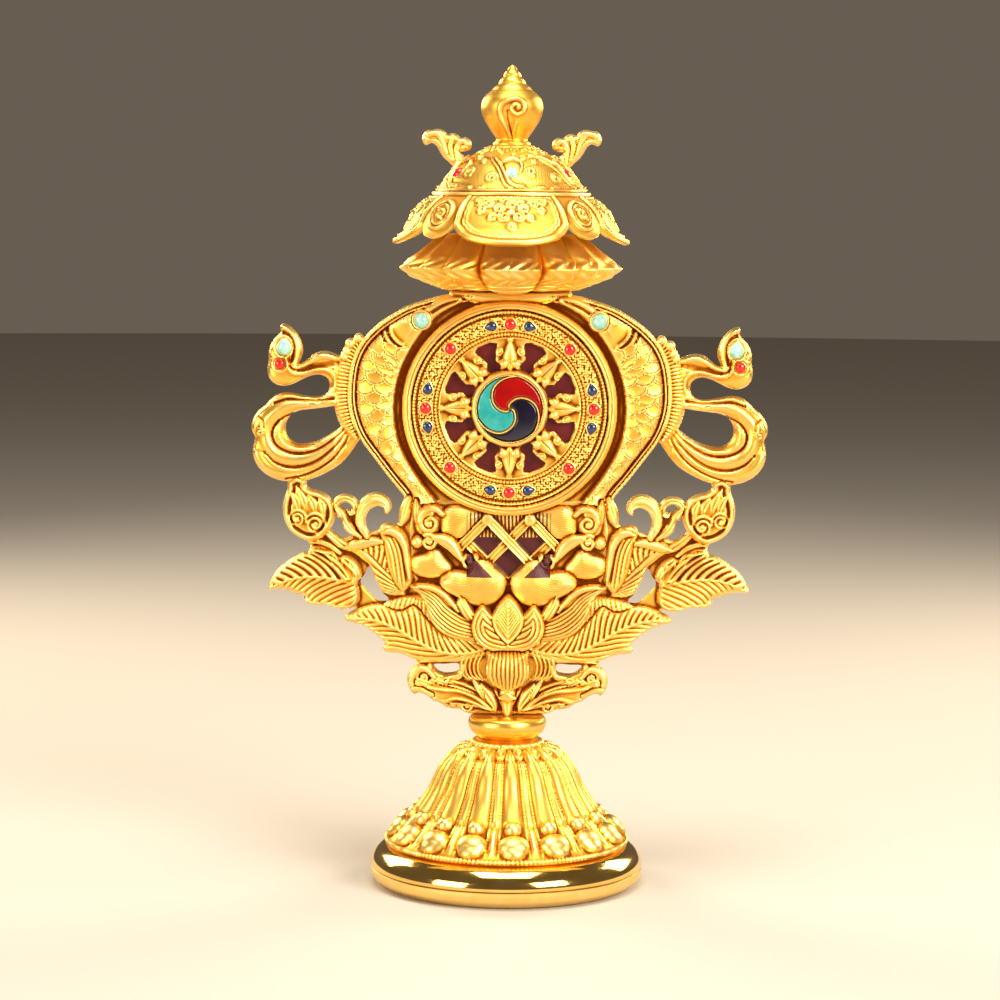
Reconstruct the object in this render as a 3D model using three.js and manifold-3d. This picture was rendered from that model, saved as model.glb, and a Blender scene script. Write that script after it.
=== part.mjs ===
// Gilt altar ornament that joins the eight auspicious signs in one upright piece: a parasol with a conch
// shaped finial, a pair of fish bent round a wheel like the flanks of a vase, ribbons, an endless knot,
// clouds and a lotus, on a fluted bell foot with a polished plinth.
// Millimetres, +Z up, the front faces -Y, and the origin is the centre of the plinth's underside.

import * as THREE from "three";
import { mergeVertices } from "three/addons/utils/BufferGeometryUtils.js";
import Module from "manifold-3d";

const wasm = await Module();
wasm.setup();

// Driving dimensions. The heights are read upwards from the underside of the plinth.
const PLINTH_RADIUS = 34.2;
const PLINTH_TOP = 10;
const FOOT_RADIUS = 30.5;
const FOOT_TOP = 37;
const FLUTES = 16;
const COLLAR_RADIUS = 9.8;
const COLLAR_TOP = 42.4;
const WHEEL_CENTRE = 119.9;
const RING_OUTER = 26.8;
const RING_INNER = 24.6;
const WHEEL_RADIUS = 24.4;
const WHEEL_OPENINGS = 8;
const HUB_RADIUS = 8.9;
const NECK_TOP = 149;
const VALANCE_TOP = 162;
const VALANCE_RADIUS = 27.8;
const VALANCE_LOBES = 8;
const CANOPY_TOP = 184;
const BAND_RADIUS = 19.6;
const BAND_HEIGHT = 172.3;
const SKIRT_RADIUS = 29.5;
const OVERALL_HEIGHT = 204.8;
const BODY_BACK = 2.4; // the flat back of the body casting lies this far behind its middle
const WEB_FRONT = 0.6; // the plain web between the carvings comes forward to here
const SEAT_GAP = 0.3; // left between a turned piece and what it sits on

// Faces round each turned piece.
const PLINTH_SIDES = 32;
const RING_SIDES = 28;
const ROUND_SIDES = 24;
const SMALL_SIDES = 16;

const GILT = { color: 0xd9a441, metalness: 1, roughness: 0.38 };
const POLISHED = { color: 0xe0b050, metalness: 1, roughness: 0.08 };
const CORAL = { color: 0xc81e14, metalness: 0, roughness: 0.25 };
const TURQUOISE = { color: 0x7fb8ac, metalness: 0, roughness: 0.3 };
const LAPIS = { color: 0x1b2b4c, metalness: 0, roughness: 0.2 };
const RED_ENAMEL = { color: 0x8c0404, metalness: 0, roughness: 0.15 };
const BLUE_ENAMEL = { color: 0x14101e, metalness: 0, roughness: 0.15 };
const TURQUOISE_ENAMEL = { color: 0x2a8a86, metalness: 0, roughness: 0.15 };
const MAROON_LACQUER = { color: 0x4c0409, metalness: 0, roughness: 0.3 };

const ornament = new THREE.Group();

// Solids and meshes

function solidOf(geometry) {
  const bare = geometry.index ? geometry.toNonIndexed() : geometry.clone();
  for (const name of Object.keys(bare.attributes)) if (name !== "position") bare.deleteAttribute(name);
  const merged = mergeVertices(bare, 1e-3);
  const corners = merged.index.array;
  const triangles = [];
  for (let i = 0; i < corners.length; i += 3) {
    const [a, b, c] = [corners[i], corners[i + 1], corners[i + 2]];
    if (a !== b && b !== c && c !== a) triangles.push(a, b, c);
  }
  const at = (i) => new THREE.Vector3().fromBufferAttribute(merged.attributes.position, i);
  let volume = 0;
  for (let i = 0; i < triangles.length; i += 3)
    volume += at(triangles[i]).dot(at(triangles[i + 1]).cross(at(triangles[i + 2])));
  if (volume < 0) triangles.reverse();
  return new wasm.Manifold(
    new wasm.Mesh({
      numProp: 3,
      vertProperties: merged.attributes.position.array,
      triVerts: new Uint32Array(triangles),
    }),
  );
}

function geometryOf(solid) {
  const mesh = solid.getMesh();
  const geometry = new THREE.BufferGeometry();
  geometry.setAttribute("position", new THREE.BufferAttribute(mesh.vertProperties, 3));
  geometry.setIndex(new THREE.BufferAttribute(mesh.triVerts, 1));
  geometry.computeVertexNormals();
  return geometry;
}

const join = (solids) => solids.reduce((whole, next) => whole.add(next));

function addMesh(name, geometry, finish, parent = ornament) {
  const mesh = new THREE.Mesh(geometry, new THREE.MeshStandardMaterial(finish));
  mesh.name = name;
  parent.add(mesh);
  return mesh;
}

// Moves every vertex of a geometry to where place(x, y, z) says.
function shaped(geometry, place) {
  const position = geometry.attributes.position;
  for (let i = 0; i < position.count; i++) {
    const p = place(position.getX(i), position.getY(i), position.getZ(i));
    position.setXYZ(i, p.x, p.y, p.z);
  }
  return geometry;
}

// A piece turned about Z from [radius, height] points, with sides faces round it.
function turned(profile, sides = ROUND_SIDES) {
  return new THREE.LatheGeometry(profile.map(([r, z]) => new THREE.Vector2(r, z)), sides).rotateX(Math.PI / 2);
}

// The same, with each vertex moved by change(radius, height, angle), where angle 0 faces the front.
function turnedAndCarved(profile, sides, change) {
  return shaped(turned(profile, sides), (x, y, z) => {
    const radius = Math.hypot(x, y);
    const angle = Math.atan2(x, -y);
    const [r, height] = radius < 1e-6 ? [0, z] : change(radius, z, angle);
    return new THREE.Vector3(r * Math.sin(angle), -r * Math.cos(angle), height);
  });
}

// A leaf, petal or ribbon. points are [x, z, half width] along its middle line. Its front stands at
// lift + edge at the sides and lift + front at its crown, and its back is the body's flat back. vein is how
// far the middle line is sunk and ribs how much every second station is lowered.
function blade(points, { steps = 6, edge = 1.1, front = 2.4, lift = 0, vein = 0, ribs = 0 }) {
  const section = (lowered) => {
    const crown = lift + front * (1 - lowered);
    const crest = vein ? [[0.5, crown], [0, crown * (1 - vein)], [-0.5, crown]] : [[0, crown]];
    return [[1, lift + edge], ...crest, [-1, lift + edge], [-1, -BODY_BACK], [1, -BODY_BACK]];
  };
  return swept(points, steps, (i) => section(i % 2 ? ribs : 0));
}

// A thin stalk with a three-cornered section.
function stalk(points, { steps = 3, front = 1.6 }) {
  return swept(points, steps, () => [[1, -BODY_BACK], [0, front], [-1, -BODY_BACK]]);
}

// A solid swept along the curve through points of [x, z, half width], with the section that
// sectionAt(station) gives there as [across, out] pairs. across runs from -1 to 1 over the width.
function swept(points, steps, sectionAt) {
  const line = new THREE.CatmullRomCurve3(points.map(([x, z, w]) => new THREE.Vector3(x, z, w)));
  const stations = line.getPoints(steps);
  const edges = stations.map(({ x, y, z }, i) => {
    const ahead = stations[Math.min(i + 1, steps)];
    const behind = stations[Math.max(i - 1, 0)];
    const along = new THREE.Vector2(ahead.x - behind.x, ahead.y - behind.y).normalize();
    const width = Math.max(z, 0.15);
    return [x - along.y * width, y + along.x * width, x + along.y * width, y - along.x * width];
  });
  return between(edges, sectionAt);
}

// A solid between two edges, given at each station as [x, z] of the one and [x, z] of the other.
function between(edges, sectionAt) {
  const steps = edges.length - 1;
  const sides = sectionAt(0).length;
  return shaped(new THREE.CylinderGeometry(1, 1, 1, sides, steps), (x, y, z) => {
    const i = Math.round((0.5 - y) * steps);
    const section = sectionAt(i);
    const corner = (Math.round((Math.atan2(x, z) / (2 * Math.PI)) * sides) + sides) % sides;
    const middle = section.reduce((sum, [, out]) => sum + out, 0) / sides;
    const [across, out] = Math.hypot(x, z) < 0.5 ? [0, middle] : section[corner];
    const [x1, z1, x2, z2] = edges[i];
    const t = (1 - across) / 2;
    return new THREE.Vector3(x1 + (x2 - x1) * t, -out, z1 + (z2 - z1) * t);
  });
}

const onBothSides = (geometry) => solidOf(geometry).add(solidOf(geometry.clone().scale(-1, 1, 1)));

// A flat plate with the given outline in the XZ plane. Like the sections, front and back count towards -Y.
function plate(outline, front, back, holes = []) {
  const shape = new THREE.Shape(outline.map(([x, z]) => new THREE.Vector2(x, z)));
  for (const hole of holes) shape.holes.push(new THREE.Path(hole.map(([x, z]) => new THREE.Vector2(x, z))));
  const solid = new THREE.ExtrudeGeometry(shape, { depth: front - back, bevelEnabled: false, curveSegments: 6 });
  return solid.rotateX(Math.PI / 2).translate(0, -back, 0);
}

// Foot

function plinth() {
  const profile = [
    [0, 0],
    [30.5, 0],
    [33, 1.2],
    [PLINTH_RADIUS, 3.4],
    [PLINTH_RADIUS, 5],
    [33.2, 7.8],
    [FOOT_RADIUS, PLINTH_TOP],
    [0, PLINTH_TOP],
  ];
  addMesh("plinth", turned(profile, PLINTH_SIDES), POLISHED);
}

function foot() {
  const profile = [
    [0, PLINTH_TOP],
    [FOOT_RADIUS - 0.4, PLINTH_TOP],
    [FOOT_RADIUS, PLINTH_TOP + 1.2],
    [28.6, 14],
    [23.4, 18.4],
    [20.2, 22],
    [18, 26.5],
    [15.6, 31],
    [10.4, 34.6],
    [8, FOOT_TOP],
    [0, FOOT_TOP],
  ];
  const petalTop = 18;
  const fluteTop = 33;
  const fluteDepth = 1.1;
  const bossHeight = 1.5;
  const carve = (radius, z, angle) => {
    const wave = Math.cos(angle * FLUTES);
    if (z <= PLINTH_TOP + 1.3 || z > fluteTop) return [radius, z];
    if (z < petalTop) return [radius + (wave - 1) * bossHeight * 0.5, z + Math.max(0, wave) * bossHeight * 0.5];
    return [radius + (wave - 1) * fluteDepth * 0.5, z];
  };
  addMesh("foot", turnedAndCarved(profile, FLUTES * 2, carve), GILT);
}

function collar() {
  const profile = [
    [0, FOOT_TOP],
    [7.4, FOOT_TOP],
    [9.2, FOOT_TOP + 1.3],
    [COLLAR_RADIUS, FOOT_TOP + 2.7],
    [9.2, COLLAR_TOP - 1.2],
    [8.4, COLLAR_TOP],
    [0, COLLAR_TOP],
  ];
  addMesh("collar", turned(profile, SMALL_SIDES), GILT);
}

// Body casting, each sub-part for the right-hand side and then mirrored

// Each fish bends round the wheel from the mouth at the top to the tail at the bottom. Its rows are the
// outer edge and the inner edge.
function fish() {
  const rows = [
    [11.4, 148.3, 11.6, 146],
    [16.4, 147.9, 15.6, 144.6],
    [20.8, 147.1, 18.4, 142.2],
    [25.2, 145.4, 21.2, 139.4],
    [29.6, 142.9, 23.6, 136.2],
    [33.7, 139.9, 25.8, 132.4],
    [37.2, 136, 27.4, 128.6],
    [39.3, 131.4, 28.4, 124.6],
    [40.2, 126, 28.8, 120.8],
    [40.2, 120.6, 28.7, 117],
    [39, 115.6, 28.1, 113.2],
    [37, 111.4, 26.9, 109.6],
    [34.2, 107.6, 25.3, 106.4],
    [30, 102.1, 22, 101.4],
    [25.9, 96.2, 18.6, 97],
  ];
  const section = (crown) => [
    [1, -BODY_BACK],
    [1, 3.4],
    [0.82, 4.2],
    [0.68, 3],
    [0.1, crown],
    [-1, 2],
    [-1, -BODY_BACK],
  ];
  return onBothSides(between(rows, (i) => section(i % 2 ? 4 : 4.8)));
}

function frill() {
  const line = [
    [36.8, 137, 1.1],
    [39.4, 134.6, 2],
    [41.8, 129, 2.6],
    [42.2, 123, 2.7],
    [41, 117.5, 2],
    [38.6, 112.4, 0.8],
  ];
  return onBothSides(blade(line, { steps: 12, edge: 1.4, front: 2.8, ribs: 0.35 }));
}

function ribbons() {
  const loop = [
    [42.6, 121.2, 1.3],
    [50, 121, 1.6],
    [55.2, 121, 2.5],
    [59.3, 118.4, 3.8],
    [60.2, 113.5, 4.1],
    [59, 108.9, 4.9],
    [54.5, 105.8, 5.3],
    [49, 106.4, 5],
    [44, 108.9, 4.3],
    [38.8, 113.2, 2.6],
  ];
  const arm = [
    [40.8, 130.2, 2],
    [45, 130.6, 2.8],
    [48, 130.6, 2.8],
    [50.8, 129.8, 2.4],
    [53.4, 128.3, 2.4],
    [57, 128.2, 3.2],
  ];
  const head = [
    [57.2, 125, 1.4],
    [57, 128.2, 3.5],
    [56.5, 132.8, 4],
    [56.4, 136.4, 2.9],
    [57.3, 140.6, 0.2],
  ];
  return join([
    onBothSides(blade(loop, { steps: 14, edge: 1.4, front: 2.8 })),
    onBothSides(blade(arm, { steps: 5, edge: 1.3, front: 2.5 })),
    onBothSides(blade(head, { steps: 4, edge: 1.4, front: 2.2 })),
  ]);
}

function sideLeaves() {
  const outer = [
    [36.9, 76, 2],
    [40, 75.8, 6.4],
    [44, 76.5, 7.3],
    [48, 76.9, 7.2],
    [52.4, 77.2, 5.2],
    [56.4, 76.3, 3],
    [60.2, 74, 0.2],
  ];
  const long = [
    [5, 60.4, 1.6],
    [13, 59, 3.2],
    [20, 60.2, 4.8],
    [26, 63.6, 6],
    [31, 65.7, 4.6],
    [36, 67.2, 2.9],
    [40.3, 66.8, 0.4],
  ];
  const upright = [
    [26.6, 73.4, 2.4],
    [27.2, 78, 2.8],
    [27.7, 83, 3],
    [28.6, 87.6, 2.8],
    [31.2, 90, 1],
  ];
  const frond = [
    [26.5, 74, 1.8],
    [30.3, 77.4, 2.9],
    [33.3, 80.6, 2.7],
    [36.2, 83.3, 1.9],
    [39.8, 84.9, 0.7],
  ];
  const leaf = { edge: 1.2, ribs: 0.3 };
  return join([
    onBothSides(blade(outer, { ...leaf, steps: 8, front: 2.8, vein: 0.3 })),
    onBothSides(blade(long, { ...leaf, steps: 8, front: 3, lift: 1 })),
    onBothSides(blade(upright, { ...leaf, steps: 5, front: 3, lift: 1 })),
    onBothSides(blade(frond, { ...leaf, steps: 4, front: 2.6, lift: 0.4 })),
  ]);
}

// The thin web that joins the side leaves, with the opening between the outer leaf and the frond.
function leafWeb() {
  const outline = [
    [49.8, 86.4],
    [49.4, 83.4],
    [42, 76],
    [37.4, 73],
    [39.6, 69.2],
    [36, 67],
    [27, 62],
    [20, 70],
    [22, 92],
    [25.8, 95.8],
    [27.4, 90.4],
    [34.8, 88.4],
    [37.4, 87.2],
    [41.2, 87],
    [44.6, 89.4],
  ];
  const opening = [
    [37, 76],
    [35.3, 79.6],
    [34, 78],
    [32, 73.4],
    [30, 71.6],
    [32.6, 71.4],
  ];
  return onBothSides(plate(outline, WEB_FRONT, -BODY_BACK, [opening]));
}

function budsAndStems() {
  const bud = [
    [48.8, 86.2, 1.6],
    [49.2, 88.6, 5],
    [49.7, 92.4, 6.5],
    [50.4, 96.6, 5.2],
    [52.9, 102, 2],
  ];
  const hook = [
    [44, 94.4, 1],
    [42, 96.3, 1.2],
    [39.8, 96.4, 1.2],
    [38.6, 94.2, 1],
  ];
  const tongue = [
    [43.4, 94.6, 1],
    [41.2, 92.4, 1.5],
    [39.6, 89.6, 1.5],
    [36.4, 87, 1],
  ];
  const scroll = [
    [34.4, 86.2, 1.6],
    [36.6, 89.6, 1.3],
    [36.7, 93.4, 1.4],
    [34.4, 96.4, 2],
    [31.6, 96.2, 1.8],
    [30.4, 94, 0.6],
  ];
  const upperStem = [
    [45.6, 89, 0.9],
    [42.4, 85.8, 1],
    [37, 84.6, 1.2],
  ];
  return join([
    onBothSides(blade(bud, { steps: 5, edge: 1.3, front: 2.6 })),
    onBothSides(stalk(hook, { steps: 3, front: 2 })),
    onBothSides(stalk(tongue, { steps: 3, front: 2 })),
    onBothSides(stalk(scroll, { steps: 6, front: 2.2 })),
    onBothSides(stalk(upperStem, { steps: 3 })),
  ]);
}

function lotus() {
  const sidePetal = [
    [6, 65, 3.4],
    [12, 65.4, 3.8],
    [16.6, 67.8, 4.4],
    [20, 71.8, 3],
    [25, 75.3, 0.3],
  ];
  const smallPetal = [
    [8.4, 67.4, 2],
    [10.4, 70.4, 1.9],
    [12.4, 73.4, 0.2],
  ];
  const lobe = [
    [-1, 61.6, 2.4],
    [3.6, 62.2, 3],
    [6.1, 65.6, 2.8],
    [6.3, 71, 0.3],
  ];
  const centre = [
    [0, 60, 2.6],
    [0, 64, 3.9],
    [0, 68, 3.8],
    [0, 73.2, 0.3],
  ];
  const drop = [
    [0, 60, 4],
    [0, 56.4, 5.6],
    [0, 53, 5.4],
    [0, 48.4, 0.4],
  ];
  const dropLeaf = [
    [5.6, 58, 2],
    [8, 55, 2.3],
    [10.8, 51, 0.8],
  ];
  return join([
    onBothSides(blade(sidePetal, { steps: 5, edge: 3, front: 5.6, lift: 1 })),
    onBothSides(blade(smallPetal, { steps: 3, edge: 3, front: 4.6 })),
    onBothSides(blade(lobe, { steps: 4, edge: 4.6, front: 7.4, lift: 1 })),
    solidOf(blade(centre, { steps: 4, edge: 5, front: 7.8, lift: 1.6 })),
    solidOf(blade(drop, { steps: 4, edge: 3, front: 7 })),
    onBothSides(stalk(dropLeaf, { steps: 2, front: 4 })),
  ]);
}

// Cloud lobes as low domes of [x, z, half width, half height, depth in front of the middle].
function clouds() {
  const lobes = [
    [6.2, 76.2, 6, 6.4, 7],
    [12.4, 75.8, 5, 3.8, 5.6],
    [19, 80.2, 6, 3.6, 4.4],
    [11.4, 91.8, 4.9, 4.2, 3.6],
    [19.8, 91.4, 3.4, 3.9, 3.6],
    [19.6, 86.2, 2.4, 2.4, 4.6],
    [9.8, 82.2, 2.2, 2.2, 6.4],
  ];
  const tail = [
    [19, 88, 0.8],
    [15, 86.2, 1.6],
    [12.4, 83.2, 0.8],
  ];
  const domes = lobes.map(([x, z, rx, rz, depth]) =>
    onBothSides(
      turned([[0, -BODY_BACK], [1, -BODY_BACK], [0.84, depth * 0.76], [0, depth]], rx > 4 ? 8 : 6)
        .rotateX(Math.PI / 2)
        .scale(rx, 1, rz)
        .translate(x, 0, z),
    ),
  );
  return join([...domes, onBothSides(stalk(tail, { steps: 2, front: 4.4 }))]);
}

function knot() {
  const bar = { steps: 1, edge: 2.6, front: 3.2 };
  const rising = [
    [11.8, 85, 1],
    [5.2, 91.6, 1],
  ];
  const falling = [
    [5.2, 91.6, 1],
    [-5.2, 81.2, 1],
  ];
  const lower = [
    [9, 85.6, 0.9],
    [0.4, 77, 0.9],
  ];
  return join([rising, falling, lower].map((line) => onBothSides(blade(line, bar))));
}

function bracket() {
  const sweep = [
    [4, 44.4, 2.2],
    [10, 46.4, 3],
    [15.6, 48.4, 3.6],
    [20.6, 50, 3.4],
    [23.2, 52, 2.4],
    [21.4, 54.8, 1.2],
    [18.4, 56.4, 1],
  ];
  const web = [
    [0, 43.2],
    [9, 44.2],
    [20, 48.2],
    [22, 56.6],
    [16, 60],
    [0, 60],
  ];
  const opening = [
    [18.6, 53.3],
    [17.8, 55.2],
    [12, 55.4],
    [11.5, 53.6],
    [14.4, 52.6],
  ];
  const column = [
    [0, COLLAR_TOP, 7.4],
    [0, 47, 4],
    [0, 52, 3],
  ];
  return join([
    onBothSides(blade(sweep, { steps: 8, edge: 1.4, front: 2.8, ribs: 0.3 })),
    onBothSides(plate(web, WEB_FRONT, -BODY_BACK, [opening])),
    solidOf(blade(column, { steps: 2, edge: 3, front: 5 })),
  ]);
}

// The ring that holds the wheel, the plain plate behind it, and the ground plate behind knot and clouds.
function ringAndGround() {
  const ring = [
    [RING_OUTER, -BODY_BACK],
    [RING_OUTER, 4],
    [25.7, 5],
    [RING_INNER, 4],
    [RING_INNER, -BODY_BACK],
    [RING_OUTER, -BODY_BACK],
  ];
  const ground = [
    [3, 57],
    [12, 62],
    [24, 78],
    [24.4, 95],
    [31.6, 106],
    [35.6, 113],
    [37.2, 124],
    [35, 131.6],
    [30, 138],
    [22, 143.4],
    [12, 146.6],
  ];
  const whole = [...ground, ...ground.map(([x, z]) => [-x, z]).reverse()];
  const turnedRing = turned(ring, RING_SIDES).rotateX(Math.PI / 2).translate(0, 0, WHEEL_CENTRE);
  return solidOf(turnedRing).add(solidOf(plate(whole, WEB_FRONT, -BODY_BACK)));
}

function neck() {
  const profile = [
    [0, 145],
    [8, 145],
    [6.4, 146.4],
    [9, NECK_TOP],
    [0, NECK_TOP],
  ];
  const shoulder = [
    [4, 146.6, 1.6],
    [12, 147.4, 1.2],
    [17, 147.4, 0.6],
  ];
  return solidOf(turned(profile, 8).scale(1, 0.7, 1)).add(
    onBothSides(blade(shoulder, { steps: 2, edge: 2.4, front: 3 })),
  );
}

function body() {
  const parts = [
    ringAndGround(),
    fish(),
    frill(),
    ribbons(),
    sideLeaves(),
    leafWeb(),
    budsAndStems(),
    lotus(),
    clouds(),
    knot(),
    bracket(),
    neck(),
  ];
  const aboveCollar = new THREE.BoxGeometry(200, 60, 200).translate(0, 0, COLLAR_TOP + 100);
  addMesh("body", geometryOf(join(parts).intersect(solidOf(aboveCollar))), GILT);
}

// Wheel

const WHEEL_BACK = 1.8;
const WHEEL_FACE = 4.2;
const ENAMEL_RADIUS = 8.3;
const ENAMEL_SEAT = 4.6;
const STONE_CIRCLE = 20.9;

const onWheel = (geometry) => geometry.rotateX(Math.PI / 2).translate(0, 0, WHEEL_CENTRE);

// A point of the wheel's plane at a radius and an angle counted clockwise from the top.
const wheelPoint = (radius, angle) => [radius * Math.sin(angle), WHEEL_CENTRE + radius * Math.cos(angle)];

function wheel() {
  const profile = [
    [0, WHEEL_BACK],
    [WHEEL_RADIUS, WHEEL_BACK],
    [WHEEL_RADIUS, 3.6],
    [22.8, 3.6],
    [18.8, 3.6],
    [18, WHEEL_FACE],
    [9.5, 6],
    [HUB_RADIUS, 6],
    [ENAMEL_RADIUS + 0.3, ENAMEL_SEAT],
    [0, ENAMEL_SEAT],
  ];
  const openingHalf = [
    [9.7, 1.2],
    [10.8, 1.9],
    [12.4, 1.1],
    [16.6, 3.2],
    [17.1, 1.7],
  ];
  const openings = Array.from({ length: WHEEL_OPENINGS }, (_, i) => {
    const middle = ((i + 0.5) * 2 * Math.PI) / WHEEL_OPENINGS;
    const half = openingHalf.map(([radius, side]) => [radius, side / radius]);
    const whole = [...half, ...half.map(([radius, turn]) => [radius, -turn]).reverse()];
    return solidOf(
      plate(
        whole.map(([radius, turn]) => wheelPoint(radius, middle + turn)),
        WHEEL_FACE + 3,
        WHEEL_BACK - 1,
      ),
    );
  });
  const disc = solidOf(onWheel(turned(profile)));
  addMesh("wheel", geometryOf(disc.subtract(join(openings))), GILT);
  const ground = [
    [0, WHEEL_BACK - 0.9],
    [17.9, WHEEL_BACK - 0.9],
    [17.9, WHEEL_BACK - SEAT_GAP],
    [0, WHEEL_BACK - SEAT_GAP],
  ];
  addMesh("wheel_ground", onWheel(turned(ground, SMALL_SIDES)), MAROON_LACQUER);
}

// Three clockwise commas of enamel in the hub, each bounded by the rim and by two turns of one spiral.
function hubEnamel() {
  const spiral = [
    [0.3, 204],
    [1.6, 249],
    [3.2, 275],
    [5, 300],
    [6.5, 322],
    [7.5, 346],
    [ENAMEL_RADIUS, 372],
  ];
  const turn = (2 * Math.PI) / 3;
  const commas = [
    ["enamel_red", RED_ENAMEL],
    ["enamel_blue", BLUE_ENAMEL],
    ["enamel_turquoise", TURQUOISE_ENAMEL],
  ];
  commas.forEach(([name, finish], i) => {
    const at = (radius, degrees, k) => [radius, THREE.MathUtils.degToRad(degrees) + turn * (i + k)];
    const head = spiral.map(([radius, degrees]) => at(radius, degrees, 0));
    const rim = [394, 420, 446, 470].map((degrees) => at(ENAMEL_RADIUS, degrees, 0));
    const tail = spiral.map(([radius, degrees]) => at(radius, degrees, 1)).reverse();
    const outline = [...head, ...rim, ...tail].map(([radius, angle]) => wheelPoint(radius, angle));
    addMesh(name, plate(inset(outline, 0.2), ENAMEL_SEAT + 1.1, ENAMEL_SEAT + SEAT_GAP), finish);
  });
}

// The outline moved inwards by distance, corner by corner.
function inset(outline, distance) {
  const points = outline.map(([x, z]) => new THREE.Vector2(x, z));
  const sense = Math.sign(THREE.ShapeUtils.area(points));
  return points.map((point, i) => {
    const before = points[(i + points.length - 1) % points.length];
    const after = points[(i + 1) % points.length];
    const along = after.clone().sub(before).normalize();
    return [point.x - along.y * distance * sense, point.y + along.x * distance * sense];
  });
}

// Parasol

function canopy() {
  const profile = [
    [0, VALANCE_TOP],
    [21, VALANCE_TOP],
    [26, 160.4],
    [SKIRT_RADIUS, 160.6],
    [28.3, 162.4],
    [25.6, 166],
    [22.4, 170.2],
    [BAND_RADIUS, BAND_HEIGHT],
    [16, 176.8],
    [11, 181.5],
    [5, CANOPY_TOP],
    [0, CANOPY_TOP],
  ];
  const notch = THREE.MathUtils.degToRad(30);
  const lobes = (radius, z, angle) => {
    if (z > 167 || radius < 24.9) return [radius, z];
    const fromLobe = Math.abs(angle - Math.round(angle / (Math.PI / 2)) * (Math.PI / 2));
    if (Math.abs(fromLobe - notch) < 0.05) return [radius - 3.4, z + (z < 161 ? 3.6 : 1.6)];
    return fromLobe < notch ? [radius, z - 1.2 * Math.cos(fromLobe * 2)] : [radius - 0.8, z];
  };
  const horn = [
    [11.6, 180, 1.6],
    [14.6, 183, 2.8],
    [16.8, 186, 2.6],
    [20, 186.9, 1.8],
    [21.6, 186.2, 1],
  ];
  const curl = [
    [13.6, 184.4, 2.2],
    [11.6, 185.6, 1.3],
    [10.6, 184.4, 0.8],
  ];
  const hornBlade = { edge: 1.2, front: 2, ribs: 0.25 };
  addMesh(
    "canopy",
    geometryOf(
      join([
        solidOf(turnedAndCarved(profile, ROUND_SIDES, lobes)),
        onBothSides(blade(horn, { ...hornBlade, steps: 5 })),
        onBothSides(stalk(curl, { steps: 2, front: 2 })),
      ]),
    ),
    GILT,
  );
}

// The gathered valance under the parasol, with a deeper panel in front and behind.
function valance() {
  const profile = [
    [0, NECK_TOP + SEAT_GAP],
    [15, NECK_TOP + SEAT_GAP],
    [20.4, 150.4],
    [26.6, 153],
    [VALANCE_RADIUS, 155.4],
    [25.6, 157.6],
    [20.6, 159.4],
    [18.6, VALANCE_TOP - SEAT_GAP],
    [0, VALANCE_TOP - SEAT_GAP],
  ];
  const gathers = (radius, z, angle) => {
    const lobe = (1 + Math.cos(angle * VALANCE_LOBES)) / 2;
    const outward = radius > 19 ? 1 : 0;
    return [radius - outward * (1 - lobe) * 2.6, z + outward * (1 - lobe) * 0.8];
  };
  addMesh("valance", turnedAndCarved(profile, ROUND_SIDES, gathers), GILT);
}

function finial() {
  const profile = [
    [0, CANOPY_TOP + SEAT_GAP],
    [4.6, CANOPY_TOP + SEAT_GAP],
    [4.7, 185.8],
    [3.9, 186.6],
    [5.8, 189.2],
    [7.7, 193.6],
    [6.6, 196.8],
    [4.9, 198.4],
    [3.3, 200.3],
    [1.6, 202.8],
    [0, OVERALL_HEIGHT],
  ];
  addMesh("finial", turned(profile, SMALL_SIDES - 2), GILT);
}

// Stones

// A domed stone on the face whose outward normal is given. point draws it out to one side as a drop.
function stone(name, finish, seat, normal, radius, { height = 0.8 * radius, point = null } = {}) {
  const sides = 6;
  const dome = turned([[0, 0], [radius, 0], [radius * 0.72, height * 0.72], [0, height]], sides);
  const facing = new THREE.Quaternion().setFromUnitVectors(new THREE.Vector3(0, 0, 1), normal);
  const drawn = shaped(dome, (x, y, z) => {
    const place = new THREE.Vector3(x, y, z).applyQuaternion(facing);
    const towards = point ? place.dot(point) / radius : 0;
    if (towards > 0.8) place.addScaledVector(point, radius * 0.55);
    return place;
  });
  addMesh(name, drawn.translate(seat.x, seat.y, seat.z), finish);
}

const FRONT = new THREE.Vector3(0, -1, 0);

function wheelStones() {
  const seatDepth = 3.6 + SEAT_GAP;
  const seatAt = (angle) => {
    const [x, z] = wheelPoint(STONE_CIRCLE, angle);
    return new THREE.Vector3(x, -seatDepth, z);
  };
  for (let i = 0; i < 8; i++) {
    const angle = (i * Math.PI) / 4;
    stone(`wheel_coral_${i + 1}`, CORAL, seatAt(angle), FRONT, 1.5);
    if (i % 2) continue;
    for (const [side, sign] of [["a", 1], ["b", -1]]) {
      const dropAngle = angle + sign * THREE.MathUtils.degToRad(12.7);
      const along = new THREE.Vector3(Math.cos(dropAngle) * sign, 0, -Math.sin(dropAngle) * sign);
      stone(`wheel_lapis_${i / 2 + 1}${side}`, LAPIS, seatAt(dropAngle), FRONT, 1.35, { point: along });
    }
  }
}

function bodyStones() {
  const up = new THREE.Vector3(0, 0, 1);
  for (const [side, sign] of [["right", 1], ["left", -1]]) {
    stone(`fish_eye_${side}`, TURQUOISE, new THREE.Vector3(22 * sign, -4.6, 141.4), FRONT, 1.9);
    stone(`ribbon_turquoise_${side}`, TURQUOISE, new THREE.Vector3(56.1 * sign, -2.6, 134.4), FRONT, 1.8, {
      point: up,
    });
    stone(`ribbon_coral_${side}`, CORAL, new THREE.Vector3(57.1 * sign, -2.6, 130.5), FRONT, 1.4);
  }
}

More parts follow.
